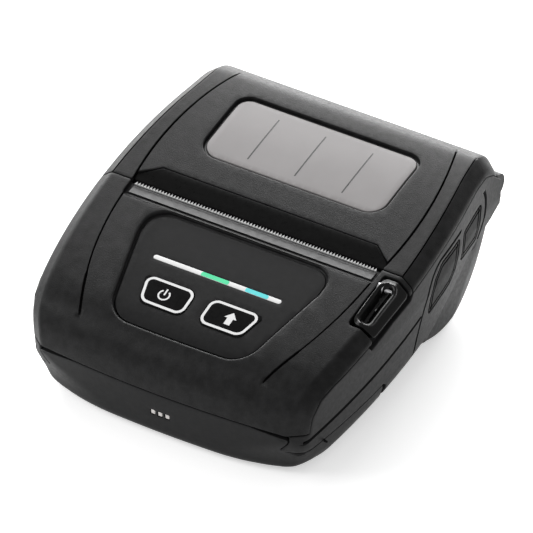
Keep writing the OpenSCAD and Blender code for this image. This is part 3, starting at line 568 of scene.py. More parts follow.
def smooth_step(value: np.ndarray, start: float, end: float) -> np.ndarray:
    """Rises from 0 at start to 1 at end."""
    t = np.clip((value - start) / (end - start), 0, 1)
    return t * t * (3 - 2 * t)


# edges that turn by more than these angles stay sharp
SKIN_SHARP = math.radians(40)
CORE_SHARP = math.radians(30)


def link_mesh(name: str, points: np.ndarray, faces: Sequence[Sequence[int]]) -> bpy.types.Object:
    """Makes a mesh object from points in mm in the seam frame.

    Args:
        name: The piece's name.
        points: Vertices in mm, from the middle of the tear seam.
        faces: Vertex numbers of each face.

    Returns:
        The new object.
    """
    mesh = bpy.data.meshes.new(name)
    placed = (np.asarray(points, float) + (0, SEAM_Y, SEAM_Z)) * MM
    mesh.from_pydata(placed.tolist(), [], [tuple(int(i) for i in face) for face in faces])
    mesh.validate()
    mesh.polygons.foreach_set("use_smooth", [True] * len(mesh.polygons))
    mesh.set_sharp_from_angle(angle=SKIN_SHARP)
    piece = bpy.data.objects.new(name, mesh)
    bpy.context.scene.collection.objects.link(piece)
    return piece


@dataclass(frozen=True)
class Casing:
    """The outer form of the printer, in mm from the middle of the tear seam.

    Attributes:
        half_w: Half of the width beside the tear seam.
        front: Foremost y of the middle line.
        rear: Rearmost y of the middle line.
        front_seam: Height of the seam between the cover and the tray at the front.
        floor: Height of the underside.
        crest: Height of the lid's highest line.
        band_w: Plan width of the sloping bands at the seam.
        band_bend: How much more the crease above the bands bends than the sides.
        band_slope: Slope of the bands, in radians.
        belly: Centre of the drum in side view, as y and z.
        belly_r: Radius of the drum.
        drum_half: Half of the drum's length.
        bow_r: Plan radius of the front.
        bow_y: Values of y between which the bow comes in.
        side_r: Plan radius of the sides.
        straight_y: The y from which the sides straighten towards the rear.
        straight_l: Length that sets how soon they are straight.
        lean: Slope by which the walls lean in below a height.
        lean_from: That height.
        cut: A point on the cut front corner, as x and y.
        cut_way: The cut's outward direction, as x and -y.
        seam_blend: Rounding of the front corner at the seam.
        corner_blend: Growth of that rounding down to the underside.
        corner_low: Height at which it is full.
        front_lean: Slope of the front face below the seam.
        keel_y: The y from which the underside rises to the drum.
        kink: Where the rise meets the drum, as y and z.
        crest_blend: Rounding between the top and the bands.
        band_blend: Rounding between the bands and the cut corner in the skins.
        cut_blend: Rounding between the sides and the cut corner.
        side_blend: Rounding between the bands and the side walls.
        sill_blend: Rounding between the front face and the underside.
        keel_blend: How much more the side walls and the underside are rounded.
        keel_from: Values of y between which that rounding grows.
    """

    half_w: float = 53.0
    front: float = -56.0
    rear: float = 62.0
    front_seam: float = -25.4
    floor: float = -41.6
    crest: float = 6.2
    band_w: float = 3.7
    band_bend: float = 1.12
    band_slope: float = math.radians(38.7)
    belly: Span = (30.0, -12.8)
    belly_r: float = 29.6
    drum_half: float = 47.2
    bow_r: float = 380.0
    bow_y: Span = (-25.0, -56.0)
    side_r: float = 250.0
    straight_y: float = 38.0
    straight_l: float = 48.0
    lean: float = math.tan(math.radians(7))
    lean_from: float = -12.0
    cut: Span = (41.4, -53.7)
    cut_way: Span = (0.616, 0.788)
    seam_blend: float = 0.6
    corner_blend: float = 14.0
    corner_low: float = -40.5
    front_lean: float = 0.09
    keel_y: float = -37.0
    kink: Span = (10.9, -35.4)
    crest_blend: float = 0.5
    band_blend: float = 0.9
    cut_blend: float = 1.2
    side_blend: float = 1.1
    sill_blend: float = 2.4
    keel_blend: float = 3.6
    keel_from: Span = (-54.0, -44.0)

    def top_line(self) -> np.ndarray:
        """The middle line of the cover and the lid.

        Returns:
            Rows of y and z, from the front seam to the rear.
        """
        roll = bezier((-40, -8.2), (-51.5, -11.3), (-54.9, -15.5), (self.front, self.front_seam), 60)
        cover = bezier((0, 0), (-13, -2.1), (-27, -4.95), (-40, -8.2), 60)
        lid = bezier((50.5, self.crest), (36, self.crest), (14, 2.3), (0, 0), 80)
        back = bezier((self.rear, -3), (61, 2.5), (56, self.crest), (50.5, self.crest), 40)
        line = np.vstack([[[self.rear, -6.3]], back, lid[1:], cover[1:], roll[1:]])
        return line[::-1]

    def wall_x(self, y: np.ndarray, z: np.ndarray) -> np.ndarray:
        """Half width of the casing at a point of its side wall."""
        middle = self.half_w - self.eased(y) ** 2 / (2 * self.side_r)
        return middle - np.maximum(0, self.lean_from - z) * self.lean

    def eased(self, y: np.ndarray) -> np.ndarray:
        """The distance along the printer, eased off towards the rear."""
        return y - np.maximum(y - self.straight_y, 0) ** 2 / self.straight_l

    def band_x(self, y: np.ndarray) -> np.ndarray:
        """Plan distance of the crease above the sloping band."""
        return self.half_w - self.band_w - self.band_bend * self.eased(y) ** 2 / (2 * self.side_r)

    def bow(self, x: np.ndarray) -> np.ndarray:
        """How far the front draws back beside the middle."""
        return x * x / (2 * self.bow_r)

    def bowed(self, x: np.ndarray, y: np.ndarray) -> np.ndarray:
        """How far a point at y draws back, which is nothing behind the cover's front part."""
        return self.bow(x) * smooth_step(y, *self.bow_y)

    def corner(self, x: np.ndarray, y: np.ndarray) -> np.ndarray:
        """Distance outside the cut front corner."""
        return (x - self.cut[0]) * self.cut_way[0] - (y - self.cut[1]) * self.cut_way[1]

    def front_y(self, z: np.ndarray) -> np.ndarray:
        """Middle of the front face at a height below the front seam."""
        return self.front + (self.front_seam - z) * self.front_lean

    def nose(self, x: np.ndarray, y: np.ndarray, z: np.ndarray) -> np.ndarray:
        """Distance outside the side walls and the front face, whose corner gets rounder downwards.

        Args:
            x: Distances from the middle plane.
            y: Places along the printer.
            z: Heights.

        Returns:
            The distances, negative inside.
        """
        side = smooth_max(x - self.wall_x(y, z), self.corner(x, y), self.cut_blend)
        ahead = self.front_y(z) - y + self.bowed(x, y)
        growth = self.corner_blend * smooth_step(z, self.front_seam, self.corner_low)
        return smooth_max(side, ahead, self.seam_blend + growth)

    def low(self, x: np.ndarray, y: np.ndarray, z: np.ndarray) -> np.ndarray:
        """Distance outside the walls, the front face and the underside, below the cover.

        Args:
            x: Distances from the middle plane.
            y: Places along the printer.
            z: Heights.

        Returns:
            The distances, negative inside.
        """
        blend = self.sill_blend + self.keel_blend * smooth_step(y - self.bow(x), *self.keel_from)
        return smooth_max(self.nose(x, y, z), self.under_z(y) - z, blend)

    def under_z(self, y: np.ndarray) -> np.ndarray:
        """Height of the underside ahead of the roll chamber."""
        rise, run = self.kink[1] - self.floor, self.kink[0] - self.keel_y
        return self.floor + np.maximum(y - self.keel_y, 0) * rise / run


CASING = Casing()
# side view seams in mm from the tear seam, as y and z: cover and side wall, lid and side wall
COVER_EDGE = [(-64, -25.4), (-49, -25.4), (-48.6, -19.5), (-45.5, -14.6), (-40.5, -12.4), (-28.6, -9.6),
              (-14.4, -6.4), (-0.15, -4)]
LID_EDGE = [(0, -4), (13.8, -1.8), (31.5, 0.5), (44, 2), (51, 1.9), (56, -0.6), (59.5, -4), (62.5, -6),
            (70, -6)]


class Surface:
    """A surface that is drawn over two numbers.

    Attributes:
        probe: Step in either number over which a normal is measured.
    """

    probe: float = 0.06

    def point(self, at: np.ndarray) -> np.ndarray:
        """Points of the surface in mm for rows of two numbers."""
        raise NotImplementedError

    def normal(self, at: np.ndarray) -> np.ndarray:
        """Outward normals of the surface for rows of two numbers.

        Args:
            at: Rows of two numbers.

        Returns:
            A unit vector for each row.
        """
        step = self.probe
        across = self.point(at + (step, 0)) - self.point(at - (step, 0))
        along = self.point(at + (0, step)) - self.point(at - (0, step))
        normal = np.cross(across, along)
        return normal / (np.linalg.norm(normal, axis=1)[:, None] + 1e-12)


class Sweep(Surface):
    """A skin along a middle line, whose two sides fan out round the casing's edges.

    The first number runs across: plain x up to flat, and an angle beyond it. The second is the
    length along the middle line.

    Attributes:
        edge: The first number at the side seam.
        stations: Distance between the places where the side seam is searched.
        sector: First angle, last angle and step of that search, in degrees.
        reach: Longest ray that is cast for the form.
        halvings: How often a ray is halved.
        overrun: Largest share of a fan's last angle that is drawn.
        line_step: Longest stretch of the middle line.
    """

    edge: float = 60.0
    stations: float = 1.0
    sector: tuple[float, float, float] = (2.0, 125.0, 0.4)
    reach: float = 40.0
    halvings: int = 30
    overrun: float = 1.2
    line_step: float = 0.3

    def __init__(
        self,
        line: np.ndarray,
        spine: Plan,
        region: Plan,
        form: Callable[..., np.ndarray],
        flat: float = 36.0,
    ) -> None:
        """Prepares the tables along the line.

        Args:
            line: Middle line as rows of y and z.
            spine: Rows of length, y and z that the fans turn about.
            region: Side view outline of the skin.
            form: Distance outside the form, from x, y, z and depth below the middle line.
            flat: Where the fans start.
        """
        self.flat = flat
        self.fan = self.edge - flat
        self.form = form
        line = resampled(line, self.line_step)
        steps = np.linalg.norm(np.diff(line, axis=0), axis=1)
        self.length = np.concatenate([[0], np.cumsum(steps)])
        self.line = line
        table = np.asarray(spine, float)
        self.spine = np.column_stack([np.interp(self.length, table[:, 0], table[:, k]) for k in (1, 2)])
        self.region = np.asarray(region, float)
        self.limits()

    def limits(self) -> None:
        """Finds the fans' last angles, where the skin meets its side seam, evened over three stations."""
        self.root = np.linalg.norm(self.line - self.spine, axis=1)
        stations = np.arange(0, self.length[-1] + 1, self.stations)
        angles = np.radians(np.arange(*self.sector))
        length, angle = (net.ravel() for net in np.meshgrid(stations, angles, indexing="ij"))
        spots = self.cast(length, angle)
        out = ~inside(spots[:, 1:], self.region)
        out = out.reshape(len(stations), len(angles))
        first = np.where(out.any(1), out.argmax(1), len(angles) - 1)
        found = angles[first]
        padded = np.concatenate([found[:1], found, found[-1:]])
        found = np.convolve(padded, np.ones(3) / 3, "valid")
        self.last = np.interp(self.length, stations, found)

    def at(self, length: np.ndarray) -> tuple[np.ndarray, ...]:
        """Middle point and outward direction at a length along the line.

        Args:
            length: Lengths along the line.

        Returns:
            The point's y and z, and the direction's y and z.
        """
        y, z = (np.interp(length, self.length, self.line[:, k]) for k in (0, 1))
        sy, sz = (np.interp(length, self.length, self.spine[:, k]) for k in (0, 1))
        size = np.hypot(y - sy, z - sz)
        return y, z, (y - sy) / size, (z - sz) / size

    def place(self, x: np.ndarray, depth: np.ndarray, length: np.ndarray) -> tuple[np.ndarray, ...]:
        """Point at an x and a depth below the middle line.

        Args:
            x: Distances from the middle plane.
            depth: Depths below the middle line.
            length: Lengths along the line.

        Returns:
            The points' x, y and z.
        """
        y, z, my, mz = self.at(length)
        return x, y + CASING.bowed(x, y) - my * depth, z - mz * depth

    def cast(self, length: np.ndarray, angle: np.ndarray) -> np.ndarray:
        """Points where rays from the fans' roots leave the form.

        Args:
            length: Lengths along the line.
            angle: The rays' angles.

        Returns:
            Rows of x, y and z.
        """
        root = np.interp(length, self.length, self.root)
        low, high = np.zeros(len(length)), np.full(len(length), self.reach)
        for _ in range(self.halvings):
            reach = (low + high) / 2
            x, depth = self.flat + reach * np.sin(angle), root - reach * np.cos(angle)
            _, y, z = self.place(x, depth, length)
            out = self.form(x, y, z, depth) > 0
            high, low = np.where(out, reach, high), np.where(out, low, reach)
        reach = (low + high) / 2
        x, depth = self.flat + reach * np.sin(angle), root - reach * np.cos(angle)
        return np.column_stack(self.place(x, depth, length))

    def point(self, at: np.ndarray) -> np.ndarray:
        """Points of the skin for rows of two numbers.

        Args:
            at: Rows of the first number and the length.

        Returns:
            Rows of x, y and z.
        """
        across, length = np.abs(at[:, 0]), at[:, 1]
        last = np.interp(length, self.length, self.last)
        angle = np.clip((across - self.flat) / self.fan, 0, self.overrun) * last
        spots = self.cast(length, angle)
        plain = np.column_stack(self.place(across, np.zeros(len(at)), length))
        spots = np.where((across <= self.flat)[:, None], plain, spots)
        side = np.where(at[:, 0] < 0, -1.0, 1.0)
        return spots * np.column_stack([side, np.ones(len(at)), np.ones(len(at))])

    def across(self, x: np.ndarray, length: np.ndarray) -> np.ndarray:
        """First number of points of the flat top at a plan distance x.

        Args:
            x: Plan distances from the middle plane.
            length: Lengths along the line.

        Returns:
            The first numbers.
        """
        root = np.interp(length, self.length, self.root)
        last = np.interp(length, self.length, self.last)
        angle = np.arctan2(np.maximum(np.abs(x) - self.flat, 0), root)
        return np.where(np.abs(x) <= self.flat, x, np.sign(x) * (self.flat + angle / last * self.fan))

    def length_at(self, y: np.ndarray | float) -> np.ndarray:
        """Length along the line at a plan distance y, for the part that rises to the rear."""
        crest = int(np.argmax(self.line[:, 0]))
        return np.interp(y, self.line[: crest + 1, 0], self.length[: crest + 1])

    def lengths(self, *places: float) -> list[float]:
        """The length along the line at each plan distance y."""
        return [float(self.length_at(y)) for y in places]

    def across_at(self, x: float, length: float) -> float:
        """First number at one plan distance x and one length."""
        return float(self.across(np.array([x]), np.array([length]))[0])

    def plan(self, points: np.ndarray) -> np.ndarray:
        """Rows of two numbers for rows of plan x and y."""
        length = self.length_at(points[:, 1])
        return np.column_stack([self.across(points[:, 0], length), length])

    def drawn(self, loop: np.ndarray, step: float) -> np.ndarray:
        """A closed plan outline in the sweep's two numbers, with no stretch longer than a step."""
        return self.plan(resampled(loop, step, True))


class SideWall(Surface):
    """The right side wall, drawn over y and z.

    Attributes:
        search: Values of x between which the wall is searched.
        halvings: How often that stretch is halved.
    """

    search: Span = (20.0, 60.0)
    halvings: int = 34

    def __init__(self, form: Callable[..., np.ndarray]) -> None:
        """Keeps the distance outside the form, from x, y and z."""
        self.form = form

    def point(self, at: np.ndarray) -> np.ndarray:
        """Points of the wall for rows of two numbers.

        Args:
            at: Rows of y and z.

        Returns:
            Rows of x, y and z.
        """
        y, z = at.T
        low, high = (np.full(len(at), end) for end in self.search)
        for _ in range(self.halvings):
            x = (low + high) / 2
            out = self.form(x, y, z) > 0
            high, low = np.where(out, x, high), np.where(out, low, x)
        return np.column_stack([(low + high) / 2, y, z])


@dataclass
class Relief:
    """A line that is sunk into a skin.

    Attributes:
        line: Its points in the skin's numbers.
        width: Its full width at the surface.
        depth: Its depth.
        fade: Length over which it fades in from its start, or 0.
        core: Half width of its flat bottom, as a share of its width.
    """

    line: np.ndarray
    width: float
    depth: float
    fade: float = 0.0
    core: float = 0.22

    def height(self, at: np.ndarray) -> np.ndarray:
        """Depth of the sunk line at each point.

        Args:
            at: Rows of the skin's two numbers.

        Returns:
            One depth for each row.
        """
        gap = distance_to(at, self.line)
        drop = 1 - smooth_step(gap, self.width * self.core, self.width / 2)
        if self.fade > 0:
            drop = drop * smooth_step(np.linalg.norm(at - self.line[0], axis=1), 0, self.fade)
        return drop * self.depth

    def rails(self) -> list[np.ndarray]:
        """Lines along which the mesh follows the sunk line.

        Returns:
            Six lines, from one side to the other.
        """
        tangent = np.gradient(self.line, axis=0)
        tangent /= np.linalg.norm(tangent, axis=1)[:, None] + 1e-12
        normal = np.column_stack([-tangent[:, 1], tangent[:, 0]])
        middle = (0.5 + self.core) / 2
        shares = (-0.5, -middle, -self.core, self.core, middle, 0.5)
        return [self.line + normal * self.width * share for share in shares]


def paired(
    sweep: Sweep, x: np.ndarray, y: np.ndarray, width: float, depth: float, fade: float
) -> list[Relief]:
    """A sunk line on both sides of the middle plane.

    Args:
        sweep: The surface that it is sunk into.
        x: Plan distances of the right line from the middle plane.
        y: Its places along the printer.
        width: Its full width.
        depth: Its depth.
        fade: Length over which it fades in from its start.

    Returns:
        The left line and the right line.
    """
    return [Relief(sweep.plan(np.column_stack([side * x, y])), width, depth, fade) for side in (-1, 1)]


@dataclass
class Sheet:
    """A skin over a surface, with rolled rims, sunk lines and a thickness.

    Attributes:
        name: The piece's name.
        surface: What it is drawn on.
        outline: Its closed edge.
        columns: Grid lines of the first number.
        rows: Grid lines of the second number.
        holes: Closed edges of its openings, each with its rim radius.
        rim: Radius of the outer rim.
        reliefs: Sunk lines.
        shapes: Other depths, as functions of the two numbers.
        guides: Lines that the mesh follows.
        drop: Depth of the whole skin below the surface.
        thickness: Thickness of the skin.
        mirrored: Whether it is made on the left side.
        step: Longest stretch of an edge.
        clearance: Least distance of the grid's points from the lines.
        rim_shares: Places across a rim where the mesh follows it.
        painted_shade_from: Depth from which the bottom of a sunk line gets near-black painted shade, as a
            share of its own depth and in mm.
    """

    name: str
    surface: Surface
    outline: np.ndarray
    columns: np.ndarray = field(default_factory=lambda: np.array([]))
    rows: np.ndarray = field(default_factory=lambda: np.array([]))
    holes: list[tuple[np.ndarray, float]] = field(default_factory=list)
    rim: float = 0.3
    reliefs: list[Relief] = field(default_factory=list)
    shapes: list[Callable[[np.ndarray], np.ndarray]] = field(default_factory=list)
    guides: list[np.ndarray] = field(default_factory=list)
    drop: float = 0.0
    thickness: float = 0.7
    mirrored: bool = False
    step: float = EDGE_STEP
    clearance: float = 0.22
    rim_shares: tuple[float, ...] = (0.08, 0.3, 0.62, 1.0)
    painted_shade_from: Span = (0.3, 0.1)

    def loops(self) -> list[tuple[np.ndarray, float, bool]]:
        """Each edge with its rim radius and whether it is the outer one."""
        edges = [(self.outline, self.rim, True)] + [(loop, radius, False) for loop, radius in self.holes]
        return [(resampled(loop, self.step, True), radius, outer) for loop, radius, outer in edges]

    def height(self, at: np.ndarray) -> np.ndarray:
        """Depth of the skin's face below the surface at each point.

        Args:
            at: Rows of the surface's two numbers.

        Returns:
            One depth for each row.
        """
        total = np.full(len(at), self.drop)
        for shape in self.shapes:
            total = total + shape(at)
        for relief in self.reliefs:
            total = np.maximum(total, self.drop + relief.height(at))
        for loop, radius, _ in self.loops():
            if radius > 0:
                gap = np.minimum(distance_to(at, loop, True), radius)
                total = total + radius - np.sqrt(np.maximum(radius**2 - (radius - gap) ** 2, 0))
        return total

    def lines(self) -> list[tuple[np.ndarray, bool]]:
        """Lines that the mesh follows.

        Returns:
            Each line with whether it is closed, the closed ones first.
        """
        lines = []
        for loop, radius, outer in self.loops():
            lines.append((loop, True))
            for share in self.rim_shares if radius > 0 else ():
                lines.append((offset(loop, radius * share * (1 if outer else -1)), True))
        opened = [rail for relief in self.reliefs for rail in relief.rails()]
        opened += [resampled(line, self.step) for line in self.guides]
        return lines + [(line, False) for line in opened]

    def covers(self, at: np.ndarray) -> np.ndarray:
        """Whether each point lies on the skin and in none of its holes.

        Args:
            at: Rows of two numbers.

        Returns:
            One truth value for each row.
        """
        outline, *holes = (loop for loop, _, _ in self.loops())
        keep = inside(at, outline)
        for hole in holes:
            keep &= ~inside(at, hole)
        return keep

    def build(self) -> bpy.types.Object:
        """Builds the skin.

        Returns:
            The piece's object.
        """
        lines = self.lines()
        points: list[np.ndarray] = []
        edges: list[tuple[int, int]] = []
        start = 0
        for line, closed in lines:
            count = len(line)
            points.append(line)
            edges += [(start + i, start + i + 1) for i in range(count - 1)]
            if closed:
                edges.append((start + count - 1, start))
            start += count
        net = np.array(np.meshgrid(self.columns, self.rows)).reshape(2, -1).T
        net = net[self.covers(net)]
        for line, closed in lines:
            if len(net):
                net = net[distance_to(net, line, closed) > self.clearance]
        points.append(net)
        coords = [Vector(p) for p in np.vstack(points).tolist()]
        merge = 1e-5
        result = delaunay_2d_cdt(coords, edges, [], 0, merge)
        at = np.array([tuple(v) for v in result[0]])
        faces = np.array([f for f in result[2] if len(f) == 3])
        faces = faces[self.covers(at[faces].mean(1))]
        used, faces = np.unique(faces, return_inverse=True)
        at, faces = at[used], faces.reshape(-1, 3)
        a, b, c = (at[faces[:, k]] for k in range(3))
        u, v = b - a, c - a
        turn = u[:, 0] * v[:, 1] - u[:, 1] * v[:, 0]
        faces[turn < 0] = faces[turn < 0][:, ::-1]
        return self.solid(at, faces)

    def solid(self, at: np.ndarray, faces: np.ndarray) -> bpy.types.Object:
        """Gives the flat triangles their form and thickness.

        Args:
            at: The two numbers of each vertex.
            faces: Triangles that turn left.

        Returns:
            The piece's object.
        """
        base, normal = self.surface.point(at), self.surface.normal(at)
        face = base - normal * self.height(at)[:, None]
        under = base - normal * (self.drop + self.thickness)
        count = len(at)
        pairs = dict.fromkeys((tri[i], tri[(i + 1) % 3]) for tri in faces.tolist() for i in range(3))
        rim = [(i, j) for i, j in pairs if (j, i) not in pairs]
        walls = [(j, i, i + count, j + count) for i, j in rim]
        back = [(c + count, b + count, a + count) for a, b, c in faces.tolist()]
        solid = faces.tolist() + back + walls
        points = np.vstack([face, under])
        if self.mirrored:
            points = points * (-1, 1, 1)
            solid = [tuple(reversed(tuple(f))) for f in solid]
        piece = link_mesh(self.name, points, solid)
        self.paint_groove_shade(piece, at[faces].mean(1))
        return piece

    def paint_groove_shade(self, piece: bpy.types.Object, middle: np.ndarray) -> None:
        """Paints shade into the bottoms of the sunk lines: they get a second slot, which holds a near-black
        painted shade.

        Args:
            piece: The skin's object, whose first polygons are its face.
            middle: The two numbers of the middle of each of these polygons.
        """
        # faces deep in a sunk line are marked for the painted shade
        dark = np.zeros(len(middle), bool)
        for relief in self.reliefs:
            depth = relief.height(middle)
            share, least = self.painted_shade_from
            dark |= depth > max(share * float(depth.max()), least)
        piece.data.materials.append(None)
        piece.data.materials.append(None)
        for index in np.flatnonzero(dark).tolist():
            piece.data.polygons[index].material_index = 1


def side_outline() -> np.ndarray:
    """The casing's side view outline.

    Returns:
        Rows of y and z, closed.
    """
    front = (CASING.front, CASING.front_seam)
    bottom = bezier(front, (-51.1, -37), (-49.6, CASING.floor), (-48.5, CASING.floor), 12)
    # the lower front runs out flat before the underside rises to the drum
    flat = np.array([(-43.0, CASING.floor), (CASING.keel_y, CASING.floor)])
    first, last = -180 + 49.77, -10
    turn = np.radians(np.linspace(first, last, 60))
    mid = np.array(CASING.belly)
    drum = mid + CASING.belly_r * np.column_stack([np.cos(turn), np.sin(turn)])
    top = CASING.top_line()[1:-1][::-1]
    return np.vstack([bottom, flat, drum, [(CASING.rear, -14.5)], top])


SIDE_OUTLINE = side_outline()


def top_field(x: np.ndarray, y: np.ndarray, z: np.ndarray, depth: np.ndarray) -> np.ndarray:
    """Distance outside the casing's upper form.

    Args:
        x: Distances from the middle plane.
        y: Places along the printer.
        z: Heights.
        depth: Depths below the middle line.

    Returns:
        The distances, negative inside.
    """
    slope = CASING.band_slope
    band = (x - CASING.band_x(y)) * math.sin(slope) - depth * math.cos(slope)
    edge = smooth_max(band, CASING.corner(x, y), CASING.band_blend)
    top = smooth_max(-depth, edge, CASING.crest_blend)
    return smooth_max(top, x - CASING.wall_x(y, z), CASING.side_blend)


def under_field(x: np.ndarray, y: np.ndarray, z: np.ndarray, _depth: np.ndarray) -> np.ndarray:
    """Distance outside the tray's form."""
    return CASING.low(x, y, z)


# the y from which the side walls end above the drum
DRUM_FROM = 12.0


def side_field(x: np.ndarray, y: np.ndarray, z: np.ndarray) -> np.ndarray:
    """Distance outside the side walls' form, which has no underside beside the drum."""
    return np.where(y < DRUM_FROM, CASING.low(x, y, z), CASING.nose(x, y, z))


# the top skins in side view, and rows of length, y and z that their fans turn about
TOP_REGION = [(-64, -26.4), (-49.1, -26.4)] + COVER_EDGE[1:] + LID_EDGE + [(70, 20), (-64, 20)]
TOP_SPINE = [(0, -44, -25.4), (12, -43, -21.5), (27, -37, -19), (47.5, -18.3, -14), (68, 0, -11.5),
             (82, 13, -9.5), (104, 36, -6.5), (118, 49, -5.5), (126, 49.5, -5.6), (134, 50, -5),
             (138, 50, -6.3)]


def grid(start: float, end: float, step: float) -> np.ndarray:
    """Evenly spaced numbers with both ends, no further apart than a step."""
    return np.linspace(start, end, max(2, math.ceil((end - start) / step) + 1))


def top_columns() -> np.ndarray:
    """Grid lines across a top skin, closer over the casing's edges.

    Returns:
        Values of the first number.
    """
    flat = 36.0
    fan = grid(flat, Sweep.edge, 0.42)
    return np.concatenate([-fan[::-1], grid(-flat, flat, 3.0)[1:-1], fan])


class Core:
    """The CAD shell inside a skin: a merged copy whose outer faces are drawn in.

    Attributes:
        depth: Least depth of the shell below the casing's form.
        rounds: How often the faces are moved.
        probe: Step over which the form's slope is measured.
    """

    depth: float = 1.35
    rounds: int = 3
    probe: float = 0.1

    def __init__(self, node: str) -> None:
        """Keeps the node's name."""
        self.node = node

    def outside(self, spots: np.ndarray) -> np.ndarray:
        """Distance outside the casing's form.

        Args:
            spots: Points in mm from the tear seam.

        Returns:
            One distance for each point, negative inside.
        """
        x, y, z = np.abs(spots[:, 0]), spots[:, 1], spots[:, 2]
        flat = np.column_stack([y - CASING.bowed(x, y), z])
        gap = distance_to(flat, SIDE_OUTLINE, True)
        form = np.where(inside(flat, SIDE_OUTLINE), -gap, gap)
        line = CASING.top_line()
        crest = int(np.argmax(line[:, 0]))
        top_z = np.interp(y, line[: crest + 1, 0], line[: crest + 1, 1])
        slope = CASING.band_slope
        band = (x - CASING.band_x(y)) * math.sin(slope) + (z - top_z) * math.cos(slope)
        side = x - CASING.wall_x(y, z)
        edge = smooth_max(band, CASING.corner(x, y), CASING.cut_blend)
        total = smooth_max(smooth_max(form, edge, CASING.crest_blend), side, CASING.side_blend)
        total = np.where(z < CASING.front_seam, np.maximum(total, CASING.low(x, y, z)), total)
        far_inside = -9.0
        return np.where(self.bare(x, y, z), far_inside, total)

    def bare(self, x: np.ndarray, y: np.ndarray, z: np.ndarray) -> np.ndarray:
        """Points of the housing that no skin covers: the drum, the underside and the rear.

        Args:
            x: Distances from the middle plane.
            y: Places along the printer.
            z: Heights.

        Returns:
            One truth value for each point.
        """
        if self.node != "lower_housing":
            return np.zeros(len(x), bool)
        drum_y, belly_half, slack = 7.0, 44.0, 0.3
        drum = (y > drum_y) & (x < CASING.drum_half + slack)
        return drum | ((z < CASING.under_z(y) + 2 * slack) & (x < belly_half))

    def build(self, body: str) -> bpy.types.Object:
        """Makes the drawn-in copy.

        Args:
            body: The body it moves with.

        Returns:
            The copy's object.
        """
        source = frame["nodes"][self.node]
        mesh = source.data.copy()
        mesh.name = self.node + "_core"
        piece = bpy.data.objects.new(self.node + "_core", mesh)
        bpy.context.scene.collection.objects.link(piece)
        work = bmesh.new()
        work.from_mesh(mesh)
        bmesh.ops.remove_doubles(work, verts=work.verts, dist=1e-6)
        work.to_mesh(mesh)
        work.free()
        spots = np.array([tuple(v.co) for v in mesh.vertices]) / MM - (0, SEAM_Y, SEAM_Z)
        for _ in range(self.rounds):
            out = self.outside(spots)
            need = np.maximum(out + self.depth, 0)
            slope = np.column_stack([
                (self.outside(spots + step) - self.outside(spots - step)) / (2 * self.probe)
                for step in np.eye(3) * self.probe
            ])
            size = np.linalg.norm(slope, axis=1)[:, None] + 1e-9
            spots = spots - slope / size * need[:, None]
        placed = (spots + (0, SEAM_Y, SEAM_Z)) * MM
        mesh.vertices.foreach_set("co", placed.astype(np.float32).ravel())
        mesh.polygons.foreach_set("use_smooth", [True] * len(mesh.polygons))
        mesh.update()
        mesh.set_sharp_from_angle(angle=CORE_SHARP)
        finish_piece(piece, body, NODE_SLOTS[self.node])
        return piece


def finish_piece(
    piece: bpy.types.Object, body: str, slot: str, *nodes: str, finish: Finish | None = None
) -> bpy.types.Object:
    """Paints a piece, lets it ride on its body and hides the CAD nodes it stands for.

    Args:
        piece: The finished mesh object.
        body: The body it moves with.
        slot: Its material slot.
        nodes: CAD nodes that it replaces.
        finish: A finish of its own, in place of the slot's.

    Returns:
        The same piece.
    """
    # an empty second slot marks the deep faces of sunk lines, which get near-black painted shade
    groove_shade_slot = len(piece.material_slots) > 1 and piece.material_slots[1].material is None
    paint(piece, (finish or FINISH_OF[slot]).material())
    if groove_shade_slot:
        piece.material_slots[1].material = GROOVE_SHADE_PAINT.material()
    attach(piece, body)
    if nodes:
        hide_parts(*nodes)
    LOG.info("%s: %d faces on %s", piece.name, len(piece.data.polygons), body)
    return piece


